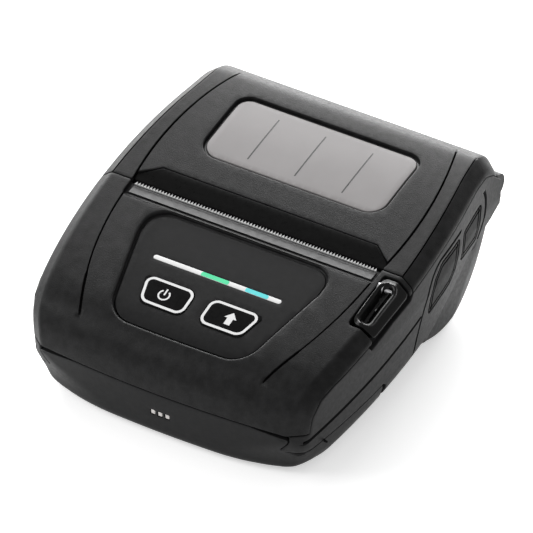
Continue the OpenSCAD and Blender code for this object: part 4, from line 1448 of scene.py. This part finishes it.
@dataclass
class FrontCover:
    """The front cover with its sloping bands, panel recess and slot for the tear bar.

    Attributes:
        sweep: The surface of the cover and the lid.
        seam: Length along the middle line at which the cover starts.
        rear_y: Place of its rear edge.
        slot_half: Half of the width of the tear bar's slot.
        slot_y: Front of that slot.
        notch_x: Inner side of the lever's notch.
        notch_y: Front and rear of that notch.
        recess_gap: Room round the panel.
        recess_rim: Rim radius of the panel's recess.
        groove_x: Plan distance of the grooves from the middle plane at the rear.
        groove_bend: How they come in to the front: by y squared over this.
        groove_end: Their front end.
        groove_w: Their width.
        groove_d: Their depth.
        groove_fade: Length over which they fade in.
        bevel_half: Half of the width of the bevel ahead of the tear bar.
        bevel_gap: Room between the slot's front and the bevel.
        bevel_y: Rear of the bevel.
        bevel_drop: Depth of the bevel at its front, and how much it grows.
    """

    sweep: Sweep
    seam: float = 0.15
    rear_y: float = -0.15
    slot_half: float = 42.4
    slot_y: float = -6.2
    notch_x: float = 43.7
    notch_y: Span = (-22.5, -1.7)
    recess_gap: float = 0.5
    recess_rim: float = 0.8
    groove_x: float = 42.05
    groove_bend: float = 225.0
    groove_end: float = -51.0
    groove_w: float = 0.95
    groove_d: float = 0.7
    groove_fade: float = 4.0
    bevel_half: float = 42.3
    bevel_gap: float = 0.05
    bevel_y: float = -4.35
    bevel_drop: Span = (0.1, 1.0)

    def outline(self) -> np.ndarray:
        """Edge of the cover with the bar's slot and the lever's notch.

        Returns:
            Rows of the sweep's two numbers.
        """
        rear, slot, low, high = self.sweep.lengths(self.rear_y, self.slot_y, *self.notch_y)
        half = self.sweep.across_at(self.slot_half, slot)
        notch = self.sweep.across_at(self.notch_x, low)
        edge = self.sweep.edge
        corners = [
            (-edge, self.seam), (edge, self.seam), (edge, low), (notch, low), (notch, high), (edge, high),
            (edge, rear), (half, rear), (half, slot), (-half, slot), (-half, rear), (-edge, rear),
        ]
        return rounded(corners, [0.4, 0.4, 0.6, 1.6, 1.0, 0.4, 0.4, 0.5, 1.6, 1.6, 0.5, 0.4])

    def grooves(self) -> list[Relief]:
        """The two styling grooves beside the panel.

        Returns:
            Their reliefs, the left one first.
        """
        y = np.linspace(self.groove_end, self.rear_y, 60)
        x = self.groove_x - y * y / self.groove_bend
        return paired(self.sweep, x, y, self.groove_w, self.groove_d, self.groove_fade)

    def bevel(self) -> None:
        """Builds the smooth bevel that leads down to the tear bar."""
        front, rear, half = self.slot_y + self.bevel_gap, self.bevel_y, self.bevel_half
        corners = np.array([(-half, rear), (-half, front), (half, front), (half, rear)])
        loop = rounded(self.sweep.plan(corners), [0.3, 1.5, 1.5, 0.3])
        low, high = self.sweep.lengths(front, rear)
        start, growth = self.bevel_drop

        def ramp(at: np.ndarray) -> np.ndarray:
            """Depth of the bevel, which grows towards the bar."""
            return start + growth * np.clip((at[:, 1] - low) / (high - low), 0, 1)

        sheet = Sheet("tear_bevel", self.sweep, loop, top_columns(), grid(low, high, 0.5), rim=0.2,
                      shapes=[ramp], thickness=2.0)
        finish_piece(sheet.build(), "housing", "grip_black")

    def build(self) -> None:
        """Builds the cover's skin, the bevel and the cover's core."""
        recess = self.sweep.drawn(offset(panel_outline(), -self.recess_gap), EDGE_STEP)
        rows = grid(self.seam, *self.sweep.lengths(self.rear_y), ROW_STEP)
        sheet = Sheet("front_cover_skin", self.sweep, self.outline(), top_columns(), rows,
                      [(recess[::-1], self.recess_rim)], 0.3, self.grooves(), thickness=1.3)
        finish_piece(sheet.build(), "housing", "top_black", "front_cover")
        self.bevel()
        Core("front_cover").build("housing")


def panel_outline(inset: float = 0.0) -> np.ndarray:
    """Plan outline of the control panel.

    Args:
        inset: Distance that it is drawn inwards.

    Returns:
        Rows of x and y.
    """
    corners = [(-30, -7), (-30, -16), (-22.5, -46.6), (22.5, -46.6), (30, -16), (30, -7)]
    loop = rounded(corners, [6, 6, 8, 8, 6, 6], 8)
    return offset(resampled(loop, 0.8, True), inset) if inset else loop


@dataclass
class Lid:
    """The lid with its window, and the grip at its front edge.

    Attributes:
        sweep: The surface of the cover and the lid.
        front_y: Place of its front edge.
        seam: Length left free at the end of the middle line.
        window_half: Half of the window's width.
        window_y: Front and rear of the window.
        window_r: Radii of its front and rear corners.
        seal_w: Width of the dark seal round the window.
        recess_w: Distance of the opening in the lid's skin from the window.
        pane_gap: Room round the pane in its seal.
        mark_x: Places of the window's marks.
        mark_half: Half of their width.
        mark_y: Their front and rear ends.
        cut_half: Half widths of the grip's cut, at the front and at the rear.
        grip_half: Half widths of the grip, at the front and at the rear.
        grip_y: Front, bend and rear of the grip.
        grip_rows: Places between which its grid lies and its scoop runs out.
        cut_rear: Rear of its cut.
        scoop: Depth of the grip's finger scoop, and of the grip behind it.
        groove_curve: Plan distance of the grooves: a start, a slope and a bend over y.
        groove_end: Their rear end.
        groove_w: Their width.
        groove_d: Their depth.
        groove_fade: Length over which they fade in.
        crease_end: Rear end of the fine lines above the bands.
        crease: Their width, depth and fade.
    """

    sweep: Sweep
    front_y: float = 0.15
    seam: float = 0.1
    window_half: float = 30.3
    window_y: Span = (18.5, 44.5)
    window_r: Span = (5.5, 4.0)
    seal_w: float = 0.9
    recess_w: float = 0.95
    pane_gap: float = 0.03
    mark_x: tuple[float, ...] = (-16.0, 0.0, 16.0)
    mark_half: float = 0.22
    mark_y: Span = (22.1, 40.7)
    cut_half: Span = (42.6, 36.4)
    grip_half: Span = (42.4, 36.3)
    grip_y: tuple[float, float, float] = (0.9, 3.2, 7.85)
    grip_rows: Span = (1.0, 8.0)
    cut_rear: float = 8.0
    scoop: Span = (0.95, 0.12)
    groove_curve: tuple[float, float, float] = (42.2, 0.14, 0.0044)
    groove_end: float = 54.5
    groove_w: float = 1.05
    groove_d: float = 0.8
    groove_fade: float = 5.0
    crease_end: float = 54.0
    crease: tuple[float, float, float] = (0.6, 0.28, 4.0)

    def window(self, out: float) -> np.ndarray:
        """Plan outline of the window.

        Args:
            out: Distance that it is drawn outwards.

        Returns:
            Rows of x and y.
        """
        half, (front, rear) = self.window_half + out, self.window_y
        ahead, behind = (radius + out for radius in self.window_r)
        corners = box((-half, half), (front - out, rear + out))
        return rounded(corners, [ahead, ahead, behind, behind], 8)

    def strip(self, half: Span, y: tuple[float, float, float]) -> np.ndarray:
        """Corners of a strip with slanted ends at the lid's front edge, from right to left.

        Args:
            half: Half of its width at the front and at the rear.
            y: Its front, its bend and its rear in plan.

        Returns:
            Rows of the sweep's two numbers.
        """
        right = [(half[0], y[0]), (half[0], y[1]), (half[1], y[2])]
        return self.sweep.plan(np.array(right + [(-x, place) for x, place in right[::-1]]))

    def outline(self) -> np.ndarray:
        """Edge of the lid with the grip's cut.

        Returns:
            Rows of the sweep's two numbers.
        """
        front, rear = self.sweep.lengths(self.front_y)[0], float(self.sweep.length[-1]) - self.seam
        cut = self.strip(self.cut_half, (self.front_y, self.grip_y[1], self.cut_rear))
        edge = self.sweep.edge
        corners = [(-edge, front), *cut[::-1].tolist(), (edge, front), (edge, rear), (-edge, rear)]
        return rounded(corners, [0.4, 0.5, 1.6, 2.6, 2.6, 1.6, 0.5, 0.4, 1.2, 1.2])

    def grooves(self) -> list[Relief]:
        """The styling grooves, which run out before the rear edge.

        Returns:
            Their reliefs, the left one first.
        """
        y = np.linspace(self.groove_end, self.front_y, 70)
        start, slope, bend = self.groove_curve
        x = start + slope * y - bend * y * y
        return paired(self.sweep, x, y, self.groove_w, self.groove_d, self.groove_fade)

    def creases(self) -> list[Relief]:
        """The fine lines along the top edges of the sloping bands."""
        y = np.linspace(self.crease_end, self.front_y, 60)
        return paired(self.sweep, CASING.band_x(y), y, *self.crease)

    def build(self) -> None:
        """Builds the lid's skin, core, seal, window and grip."""
        recess = self.sweep.drawn(self.window(self.recess_w), EDGE_STEP)
        rows = grid(*self.sweep.lengths(self.front_y), float(self.sweep.length[-1]), ROW_STEP)
        sheet = Sheet("lid_skin", self.sweep, self.outline(), top_columns(), rows, [(recess[::-1], 0.35)],
                      0.3, self.grooves() + self.creases(), thickness=1.3)
        finish_piece(sheet.build(), "lid", "top_black", "lid_shell")
        Core("lid_shell").build("lid")
        self.glazing()
        self.grip()

    def glazing(self) -> None:
        """Builds the seal, the window and its three marks."""
        columns, rows = grid(-31, 31, 3.0), grid(80, 118, 1.5)
        ring, hole, pane = (
            self.sweep.drawn(self.window(out), EDGE_STEP) for out in (self.seal_w, 0.0, -self.pane_gap)
        )
        seal = Sheet("window_seal_ring", self.sweep, ring, columns, rows, [(hole[::-1], 0.25)], 0.25,
                     drop=1.25, thickness=1.0)
        finish_piece(seal.build(), "lid", "seal_black", "window_seal")
        window = Sheet("lid_window_pane", self.sweep, pane, columns, rows, drop=0.75, thickness=1.3)
        finish_piece(window.build(), "lid", "window_smoke", "lid_window")
        for index, x in enumerate(self.mark_x):
            corners = box((x - self.mark_half, x + self.mark_half), self.mark_y)
            strip = self.sweep.drawn(rounded(corners, 0.2, 3), 0.8)
            mark = Sheet(f"paper_mark_{index}", self.sweep, strip, rim=0.0, drop=0.72, thickness=0.1)
            finish_piece(mark.build(), "lid", "seal_black")

    def grip(self) -> None:
        """Builds the smooth grip at the lid's front edge."""
        loop = rounded(self.strip(self.grip_half, self.grip_y), [0.6, 1.4, 2.4, 2.4, 1.4, 0.6])
        front, rear = self.sweep.lengths(*self.grip_rows)
        hollow, behind = self.scoop

        def dip(at: np.ndarray) -> np.ndarray:
            """Depth of the finger scoop, deepest at the front."""
            return hollow * (1 - smooth_step(at[:, 1], front - 2, rear + 0.5)) + behind

        sheet = Sheet("lid_grip_strip", self.sweep, loop, top_columns(), grid(front, rear, 0.7),
                      shapes=[dip], thickness=2.2)
        finish_piece(sheet.build(), "lid", "grip_black", "lid_grip")


@dataclass
class ControlPanel:
    """The panel with its two keys, their printed frames and signs, and the light bar.

    Attributes:
        sweep: The surface of the cover and the lid.
        drop: Depth of the panel below the cover's form.
        key_x: Distance of a key's middle from the middle plane.
        key_y: Place of the keys' middle.
        key_half: Half of a key's width and of its length.
        key_slant: How much narrower a key is at its front.
        key_r: Radii of the right key's corners.
        key_gap: Room round a key in the panel.
        key_rise: Height of a key above the panel.
        frame_edge: Distance of a printed frame's two edges from the key's edge.
        frame_rise: Height of the frames above the panel.
        sign_rise: Height of the signs above the panel.
        bar_y: Place of the light bar.
        bar_half: Half of its length and of its width.
        bar_rise: Its height above the panel.
        lit_half: Half of the width of a lit stretch.
        lit_rise: Height of a lit stretch above the panel.
    """

    sweep: Sweep
    drop: float = 1.15
    key_x: float = 11.1
    key_y: float = -34.1
    key_half: Span = (8.5, 4.8)
    key_slant: float = 2.6
    key_r: tuple[float, ...] = (2.9, 3.2, 2.5, 2.9)
    key_gap: float = 0.2
    key_rise: float = 0.25
    frame_edge: Span = (0.12, 0.95)
    frame_rise: float = 0.29
    sign_rise: float = 0.28
    bar_y: float = -22.6
    bar_half: Span = (21.5, 0.8)
    bar_rise: float = 0.05
    lit_half: float = 0.72
    lit_rise: float = 0.09

    def key(self, side: int, inset: float = 0.0) -> np.ndarray:
        """Outline of a key, slanted on its outer side.

        Args:
            side: -1 for the left key and 1 for the right one.
            inset: Distance that it is drawn inwards in plan.

        Returns:
            Rows of the sweep's two numbers.
        """
        half, long = self.key_half
        corners = [(-half, -long), (half - self.key_slant, -long), (half, long), (-half, long)]
        radii = self.key_r
        if side < 0:
            corners, radii = [(-x, y) for x, y in reversed(corners)], radii[::-1]
        placed = [(x + side * self.key_x, y + self.key_y) for x, y in corners]
        loop = resampled(rounded(placed, radii, 8), KEY_STEP, True)
        return self.sweep.plan(offset(loop, inset) if inset else loop)

    def bar(self, gap: float) -> np.ndarray:
        """Plan outline of the light bar, with round ends.

        Args:
            gap: Distance that it is drawn outwards.

        Returns:
            Rows of x and y.
        """
        x, w = (half + gap for half in self.bar_half)
        return rounded(box((-x, x), (self.bar_y - w, self.bar_y + w)), w - 0.02, 6)

    def build(self) -> None:
        """Builds the panel, the keys, the light bar and the signs."""
        columns, rows = grid(-30, 30, 2.5), grid(18, 62, 1.3)
        holes = [(self.key(side, -self.key_gap)[::-1], 0.12) for side in (-1, 1)]
        holes.append((self.sweep.drawn(self.bar(0.03), KEY_STEP)[::-1], 0.05))
        edge = self.sweep.drawn(panel_outline(0.02), KEY_STEP)
        panel = Sheet("control_panel_plate", self.sweep, edge, columns, rows, holes, drop=self.drop,
                      thickness=1.2)
        finish_piece(panel.build(), "housing", "panel_black", "control_panel")
        for side, body, node in ((-1, "power_key", "power_button"), (1, "feed_key", "feed_button")):
            cap = Sheet(f"{node}_cap", self.sweep, self.key(side), columns, rows, rim=0.4,
                        drop=self.drop - self.key_rise, thickness=2.4)
            finish_piece(cap.build(), body, "button_black")
            outer, inner = (self.key(side, inset) for inset in self.frame_edge)
            line = Sheet(f"{node}_frame", self.sweep, outer, holes=[(inner[::-1], 0.0)], rim=0.0,
                         drop=self.drop - self.frame_rise, thickness=0.42)
            finish_piece(line.build(), body, "light_grey")
        self.lights()
        self.signs()

    def lights(self) -> None:
        """Builds the light bar and its two lit stretches."""
        loop = self.sweep.drawn(self.bar(0.0), MARK_STEP)
        bar = Sheet("light_bar", self.sweep, loop, rim=0.1, drop=self.drop - self.bar_rise, thickness=1.2)
        finish_piece(bar.build(), "housing", "light_grey", "light_guide")
        y = (self.bar_y - self.lit_half, self.bar_y + self.lit_half)
        stretches = (("green_light", (-5.4, 3.9), LIGHT_GREEN), ("blue_light", (9.5, 17.2), LIGHT_BLUE))
        for name, x, finish in stretches:
            loop = self.sweep.drawn(rounded(box(x, y), 0.5), MARK_STEP)
            lit = Sheet(name, self.sweep, loop, rim=0.0, drop=self.drop - self.lit_rise, thickness=0.12)
            finish_piece(lit.build(), "housing", "led_lens", finish=finish)

    def signs(self) -> None:
        """Builds the generic power sign and feed arrow."""
        y = self.key_y
        turn = np.radians(np.linspace(125, 415, 30))
        circle = np.column_stack([np.cos(turn), np.sin(turn)])
        ring = np.vstack([circle * 1.95, circle[::-1] * 1.45]) + (-self.key_x, y - 0.2)
        stroke = np.array(box((-0.25, 0.25), (-0.2, 2.1))) + (-self.key_x, y)
        arrow = np.array([
            (-0.95, -2.3), (0.95, -2.3), (0.95, 0.1), (2.0, 0.1), (0, 2.3), (-2.0, 0.1), (-0.95, 0.1),
        ]) + (self.key_x, y)
        for name, shape, body in (
            ("power_sign_ring", ring, "power_key"),
            ("power_sign_bar", stroke, "power_key"),
            ("feed_sign_arrow", arrow, "feed_key"),
        ):
            sign = Sheet(name, self.sweep, self.sweep.drawn(shape, MARK_STEP), rim=0.0,
                         drop=self.drop - self.sign_rise, thickness=0.1)
            finish_piece(sign.build(), body, "light_grey")


# the tray in side view, and rows of length, y and z that its fans turn about
TRAY_REGION = [(-64, -25.4), (-53.3, -25.4), (-52.7, -33), (-47, -33), (-12.6, -31), (-11.2, -32.4),
               (-11.2, -60), (-64, -60)]
TRAY_SPINE = [(0, 10.9, -24), (48.3, -37, -31), (58, -43, -31), (64, -42, -30.5), (80, -40, -25.4)]


def tray_line() -> np.ndarray:
    """The middle line of the underside and the front face.

    Returns:
        Rows of y and z, from the rear to the front seam.
    """
    blend = CASING.sill_blend
    lead = np.linspace(-blend, blend, 18)
    high = -((blend - np.abs(lead)) ** 2) / (4 * blend)
    ahead, below = np.where(lead > 0, high, high + lead), np.where(lead > 0, high - lead, high)
    z = CASING.floor - below
    fillet = np.column_stack([CASING.front_y(z) - ahead, z])
    start, end = [CASING.kink, (CASING.keel_y, CASING.floor)], [(CASING.front, CASING.front_seam)]
    return np.vstack([start, fillet, end])


@dataclass
class Tray:
    """The bottom tray with its front face and the charging contacts.

    Attributes:
        flat: Plan distance from which its sides fan out.
        start_y: Place of its rear edge.
        seam: Length left free at the front seam.
        face_y: The y ahead of which the line is the front face.
        contact_pitch: Distance between two contacts.
        contact_z: Height of the contacts.
        contact_half: Half of a contact's width and of its height.
        contact_gap: Room round a contact.
    """

    flat: float = 18.0
    start_y: float = -11.5
    seam: float = 0.15
    face_y: float = -49.0
    contact_pitch: float = 2.4
    contact_z: float = -33.0
    contact_half: Span = (0.72, 0.8)
    contact_gap: float = 0.18

    def contact(self, index: int, row: float, out: float) -> np.ndarray:
        """Outline of one contact.

        Args:
            index: Its place in the row, from -1 to 1.
            row: Length along the line at the row.
            out: Distance that it is drawn outwards.

        Returns:
            Rows of the sweep's two numbers.
        """
        w, h = (half + out for half in self.contact_half)
        x = index * self.contact_pitch
        return rounded(box((x - w, x + w), (row - h, row + h)), 0.3, 3)

    def build(self) -> None:
        """Builds the tray's skin, its core and the contacts."""
        sweep = Sweep(tray_line(), TRAY_SPINE, TRAY_REGION, under_field, self.flat)
        start = float(np.interp(-self.start_y, -sweep.line[:, 0], sweep.length))
        end = float(sweep.length[-1]) - self.seam
        face = sweep.line[:, 0] < self.face_y
        row = float(np.interp(self.contact_z, sweep.line[face, 1], sweep.length[face]))
        places = (-1, 0, 1)
        rings = [resampled(self.contact(i, row, self.contact_gap), MARK_STEP, True) for i in places]
        holes = [(ring[::-1], 0.12) for ring in rings]
        outline = rounded(box((-sweep.edge, sweep.edge), (start, end)), [1.6, 1.6, 0.4, 0.4])
        fan = grid(self.flat, sweep.edge, 0.55)
        columns = np.concatenate([-fan[::-1], grid(1 - self.flat, self.flat - 1, 3.0), fan])
        sheet = Sheet("tray_skin", sweep, outline, columns, grid(start, end, 0.9), holes, thickness=1.3)
        finish_piece(sheet.build(), "housing", "side_grey", "bottom_tray")
        Core("bottom_tray").build("housing")
        for index in places:
            pad = Sheet(f"charging_contact_{index + 1}", sweep, self.contact(index, row, 0.0), rim=0.25,
                        drop=0.12, thickness=1.2)
            nodes = ("charging_contacts",) if index == 0 else ()
            finish_piece(pad.build(), "housing", "gold", *nodes, finish=CONTACT_SILVER)


def turned(loop: np.ndarray, left: bool) -> np.ndarray:
    """The outline with its points in the left-turning order, or the other."""
    return loop if (area_of(loop) > 0) == left else loop[::-1]


@dataclass
class SideWalls:
    """Both side walls of the housing, with their grooves and the two port covers.

    Attributes:
        seam: Room between a wall and the pieces round it.
        foot: Height of a wall's lower edge above the underside.
        groove: Width, depth and fade of the long groove.
        bend: Width and depth of the curved line.
        scoop: Width and depth of the scoop behind the jack's cover.
        cover_gap: Room round a port cover.
        cover_t: Thickness of the covers.
        cover_inset: Distance of a cover's ring from its edge.
        cover_ring: Width and depth of that ring.
    """

    seam: float = 0.17
    foot: float = 1.7
    groove: tuple[float, float, float] = (1.5, 1.7, 1.5)
    bend: Span = (1.15, 1.6)
    scoop: Span = (1.5, 1.4)
    cover_gap: float = 0.55
    cover_t: float = 1.4
    cover_inset: float = 1.3
    cover_ring: Span = (0.8, 0.5)

    def edge(self, right: bool) -> np.ndarray:
        """Outline of a side wall, the right one with the lever's notch.

        Args:
            right: Whether it is the right wall.

        Returns:
            Rows of y and z.
        """
        rear = LID_EDGE[1:-2] + [(61.6, -5.9)]
        top = COVER_EDGE[1:] + LID_EDGE[:1] + rear
        if right:
            notch = [(-24, -8.5), (-22.6, -10.4), (-11, -7.4), (-1.8, -6.2), (-0.5, -4.6), (0, -4.1)]
            top = COVER_EDGE[1:6] + notch + rear
        low = [(61.6, -15), (56, -17.8), (47, -19.4), (39, -20.4), (11, -33.6), (9.4, -33.9)]
        y = np.array([7.0, -2.0, -11.1])
        low += list(zip(y, CASING.under_z(y) + self.foot))
        tray = [(-11.1, -32.4), (-12.6, -31), (-47, -33), (-52.7, -33)]
        corners = np.array([(-53.3, -25.4)] + top + low + tray, float)
        keep = np.linalg.norm(corners - np.roll(corners, 1, 0), axis=1) > 0.05
        return offset(resampled(corners[keep], 1.0, True), self.seam)

    def lines(self) -> list[Relief]:
        """The long groove, the curved line round the front part and the scoop behind the jack.

        Returns:
            Their reliefs.
        """
        front, middle, rear = (-50.5, -28.6), (-20, -23.3), (5.4, -18.2)
        long = np.vstack([np.linspace(front, middle, 30), np.linspace(middle, rear, 30)[1:]])
        rise = bezier((4.4, -34.2), (4.9, -30), (5.1, -27), (5.6, -24.6), 12)
        bend = bezier((5.6, -24.6), (8, -12), (11, -4.6), (18.2, -4.2), 30)
        curve = np.vstack([rise, bend[1:], [(31.3, -4.1)]])
        scoop = bezier((45.8, -19.8), (49.6, -16.5), (52.8, -8), (50.1, -3.1), 24)
        return [
            Relief(long, *self.groove),
            Relief(resampled(curve, KEY_STEP), *self.bend),
            Relief(scoop, *self.scoop),
        ]

    def leaf(self) -> np.ndarray:
        """Outline of the data port's cover.

        Returns:
            Rows of y and z.
        """
        corners = [(11.4, -20.6), (25.2, -18.9), (28.4, -16.2), (30.6, -6.4), (18, -6.2), (13.6, -9.5),
                   (11.6, -14)]
        return rounded(corners, [1, 1.2, 1.2, 0.8, 2.5, 2.5, 2.5])

    def jack(self) -> np.ndarray:
        """Outline of the power jack's cover, as rows of y and z."""
        corners = [(32.9, -15.8), (45, -17.2), (46.4, -13.8), (47.6, -5.8), (34.4, -6.5)]
        return rounded(corners, [1.2, 1.2, 1.2, 1, 1.2])

    def build(self) -> None:
        """Builds the two walls, the housing's core and the covers."""
        wall = SideWall(side_field)
        columns, rows = grid(-52.5, 61.8, 1.0), grid(-38, 2, 0.9)
        openings = [
            resampled(offset(resampled(loop, KEY_STEP, True), -self.cover_gap), KEY_STEP, True)
            for loop in (self.leaf(), self.jack())
        ]
        for name, right, nodes in (("right_wall", True, ["lower_housing"]), ("left_wall", False, [])):
            holes = [(turned(loop, False), 0.2) for loop in openings] if right else []
            sheet = Sheet(name, wall, turned(self.edge(right), True), columns, rows, holes, 0.35,
                          self.lines(), thickness=3.0, mirrored=not right)
            finish_piece(sheet.build(), "housing", "side_grey", *nodes)
        Core("lower_housing").build("housing")
        for loop, name, body, node in (
            (self.leaf(), "data_cover_cap", "data_port_cover", "port_cover"),
            (self.jack(), "jack_cover_cap", "jack_port_cover", "jack_cover"),
        ):
            ring = offset(resampled(loop, MARK_STEP, True), self.cover_inset)
            line = Relief(np.vstack([ring, ring[:1]]), *self.cover_ring)
            cap = Sheet(name, wall, turned(loop, True), columns, rows, reliefs=[line], drop=0.05,
                        thickness=self.cover_t)
            finish_piece(cap.build(), body, "cover_rubber", node)


@dataclass
class Lever:
    """The lid's opening lever with its glossy finger pocket.

    Attributes:
        sweep: The surface of the cover and the lid.
        inner_x: Its inner side in plan.
        outer: The first number at its outer side.
        front_y: Its front in plan.
        rear_y: Its rear in plan.
        pocket_x: Sides of the finger pocket.
        pocket_y: Front and rear of the pocket.
        pocket_r: Radius of the pocket's corners.
        pocket_depth: Depth of the pocket.
        pocket_slope: Width of the pocket's slopes.
        ridge_x: Place of the ridge in the pocket.
        ridge_y: Ends of the ridge.
        ridge_h: Height of the ridge.
        ridge_w: Distances from its middle between which it falls away.
        rim_h: Height of the raised rim.
        rim_out: Distance of the rim from the pocket's edge.
        rim_w: Width of the rim.
        rings: Distances from the pocket's edge at which the mesh follows it.
    """

    sweep: Sweep
    inner_x: float = 44.1
    outer: float = 59.4
    front_y: float = -21.9
    rear_y: float = -2.4
    pocket_x: Span = (45.3, 50.8)
    pocket_y: Span = (-20.3, -4.6)
    pocket_r: float = 2.4
    pocket_depth: float = 2.3
    pocket_slope: float = 1.3
    ridge_x: float = 48.4
    ridge_y: Span = (-18.4, -6.6)
    ridge_h: float = 1.5
    ridge_w: Span = (0.25, 0.7)
    rim_h: float = 0.4
    rim_out: float = 0.55
    rim_w: float = 0.42
    rings: tuple[float, ...] = (-1.3, -0.8, -0.35, 0.0, 0.3, 0.55, 0.9)

    def ring(self, out: float) -> np.ndarray:
        """Outline of the finger pocket.

        Args:
            out: Distance that it is drawn outwards.

        Returns:
            Rows of the sweep's two numbers.
        """
        corners = self.sweep.plan(np.array(box(self.pocket_x, self.pocket_y)))
        return offset(resampled(rounded(corners, self.pocket_r), MARK_STEP, True), -out)

    def outline(self) -> np.ndarray:
        """Edge of the lever, down to the cover's side seam.

        Returns:
            Rows of the sweep's two numbers.
        """
        low, high = self.sweep.lengths(self.front_y, self.rear_y)
        inner = self.sweep.across_at(self.inner_x, low)
        corners = [(inner, low), (self.outer, low + 0.5), (self.outer, high), (inner, high)]
        return rounded(corners, [3.2, 1.2, 1.6, 2.2])

    def pocket(self, at: np.ndarray) -> np.ndarray:
        """Depth of the finger pocket, its ridge and its raised rim.

        Args:
            at: Rows of the sweep's two numbers.

        Returns:
            One depth for each row.
        """
        loop = self.ring(0.0)
        gap = distance_to(at, loop, True)
        within = inside(at, loop)
        floor = self.pocket_depth * smooth_step(gap, 0.0, self.pocket_slope) * within
        middle = self.sweep.plan(np.array([(self.ridge_x, y) for y in self.ridge_y]))
        ridge = self.ridge_h * (1 - smooth_step(distance_to(at, middle), *self.ridge_w)) * within
        past = (np.where(within, -gap, gap) - self.rim_out) / self.rim_w
        return floor - ridge - self.rim_h * np.exp(-(past**2))

    def build(self) -> None:
        """Builds the lever."""
        loops = [self.ring(out) for out in self.rings]
        guides = [np.vstack([loop, loop[:1]]) for loop in loops]
        rows = grid(*self.sweep.lengths(self.front_y, self.rear_y), 0.6)
        sheet = Sheet("lever_cap", self.sweep, self.outline(), grid(46, 60, 0.35), rows, rim=0.45,
                      shapes=[self.pocket], guides=guides, thickness=3.4)
        finish_piece(sheet.build(), "lever", "gloss_black", "open_lever")


@dataclass
class TearBar:
    """The tear bar: a dark strip with a row of small teeth, repeated by Geometry Nodes.

    Attributes:
        half: Half of the bar's width.
        front_y: Front of the strip.
        root_y: Rear of the strip, where the teeth stand.
        height: Height of the strip's top.
        strip_t: Thickness of the strip.
        pitch: Distance between two teeth.
        tooth: Width, length and thickness of a tooth.
        overlap: Length of a tooth on the strip.
        tooth_rise: Height of the teeth's roots above the strip.
        tip_rise: Height of a tooth's tip above its root.
    """

    half: float = 41.0
    front_y: float = -4.2
    root_y: float = -0.9
    height: float = -1.35
    strip_t: float = 0.55
    pitch: float = 1.0
    tooth: tuple[float, float, float] = (0.92, 1.15, 0.3)
    overlap: float = 0.05
    tooth_rise: float = 0.75
    tip_rise: float = 0.2

    def build(self) -> None:
        """Builds the strip and the teeth."""
        corners = box((-self.half, self.half), (self.front_y, self.root_y))
        top = [(x, y, self.height) for x, y in corners]
        points = np.array(top + [(x, y, z - self.strip_t) for x, y, z in top])
        faces = [(0, 1, 2, 3), (7, 6, 5, 4), (0, 4, 5, 1), (1, 5, 6, 2), (2, 6, 7, 3), (3, 7, 4, 0)]
        finish_piece(link_mesh("tear_strip", points, faces), "housing", "part_black", "tear_bar")
        teeth = self.repeated(self.one_tooth())
        finish_piece(teeth, "housing", "steel", finish=TOOTH_STEEL)

    def one_tooth(self) -> bpy.types.Object:
        """One tooth, standing at the first place of the row.

        Returns:
            The tooth's object.
        """
        w, l, t = self.tooth
        x, y, z = -self.half + self.pitch / 2, self.root_y - self.overlap, self.height + self.tooth_rise
        base = [(x - w / 2, y, z), (x + w / 2, y, z), (x, y + l, z + self.tip_rise)]
        points = np.array(base + [(a, b, c - t) for a, b, c in base])
        faces = [(0, 1, 2), (5, 4, 3), (0, 3, 4, 1), (1, 4, 5, 2), (2, 5, 3, 0)]
        return link_mesh("one_tooth", points, faces)

    def repeated(self, tooth: bpy.types.Object) -> bpy.types.Object:
        """Repeats a tooth along the bar and bakes the row into one mesh.

        Args:
            tooth: The tooth at the row's first place.

        Returns:
            The row's object.
        """
        group = bpy.data.node_groups.new("tooth_row", "GeometryNodeTree")
        face = group.interface
        face.new_socket("Geometry", in_out="INPUT", socket_type="NodeSocketGeometry")
        count = face.new_socket("Teeth", in_out="INPUT", socket_type="NodeSocketInt")
        pitch = face.new_socket("Pitch", in_out="INPUT", socket_type="NodeSocketFloat")
        face.new_socket("Geometry", in_out="OUTPUT", socket_type="NodeSocketGeometry")
        start, line, step, place, real, dye, end = (group.nodes.new(kind) for kind in (
            "NodeGroupInput", "GeometryNodeMeshLine", "ShaderNodeCombineXYZ", "GeometryNodeInstanceOnPoints",
            "GeometryNodeRealizeInstances", "GeometryNodeSetMaterial", "NodeGroupOutput",
        ))
        dye.inputs["Material"].default_value = FINISH_OF["steel"].material()
        for source, output, target, into in (
            (start, "Teeth", line, "Count"),
            (start, "Pitch", step, "X"),
            (step, "Vector", line, "Offset"),
            (line, "Mesh", place, "Points"),
            (start, "Geometry", place, "Instance"),
            (place, "Instances", real, "Geometry"),
            (real, "Geometry", dye, "Geometry"),
            (dye, "Geometry", end, "Geometry"),
        ):
            group.links.new(source.outputs[output], target.inputs[into])
        modifier = tooth.modifiers.new("row", "NODES")
        modifier.node_group = group
        modifier[count.identifier] = round(2 * self.half / self.pitch)
        modifier[pitch.identifier] = self.pitch * MM
        graph = bpy.context.evaluated_depsgraph_get()
        mesh = bpy.data.meshes.new_from_object(tooth.evaluated_get(graph))
        mesh.name = "tear_teeth"
        tooth.modifiers.clear()
        bpy.data.objects.remove(tooth)
        row = bpy.data.objects.new("tear_teeth", mesh)
        bpy.context.scene.collection.objects.link(row)
        return row


def main() -> None:
    """Builds the scene piece by piece."""
    logging.basicConfig(level=logging.INFO, format="%(name)s: %(message)s")
    Studio().build()
    dress_frame()
    top = Sweep(CASING.top_line(), TOP_SPINE, TOP_REGION, top_field)
    FrontCover(top).build()
    Lid(top).build()
    ControlPanel(top).build()
    Lever(top).build()
    TearBar().build()
    Tray().build()
    SideWalls().build()


if __name__ == "__main__":
    main()
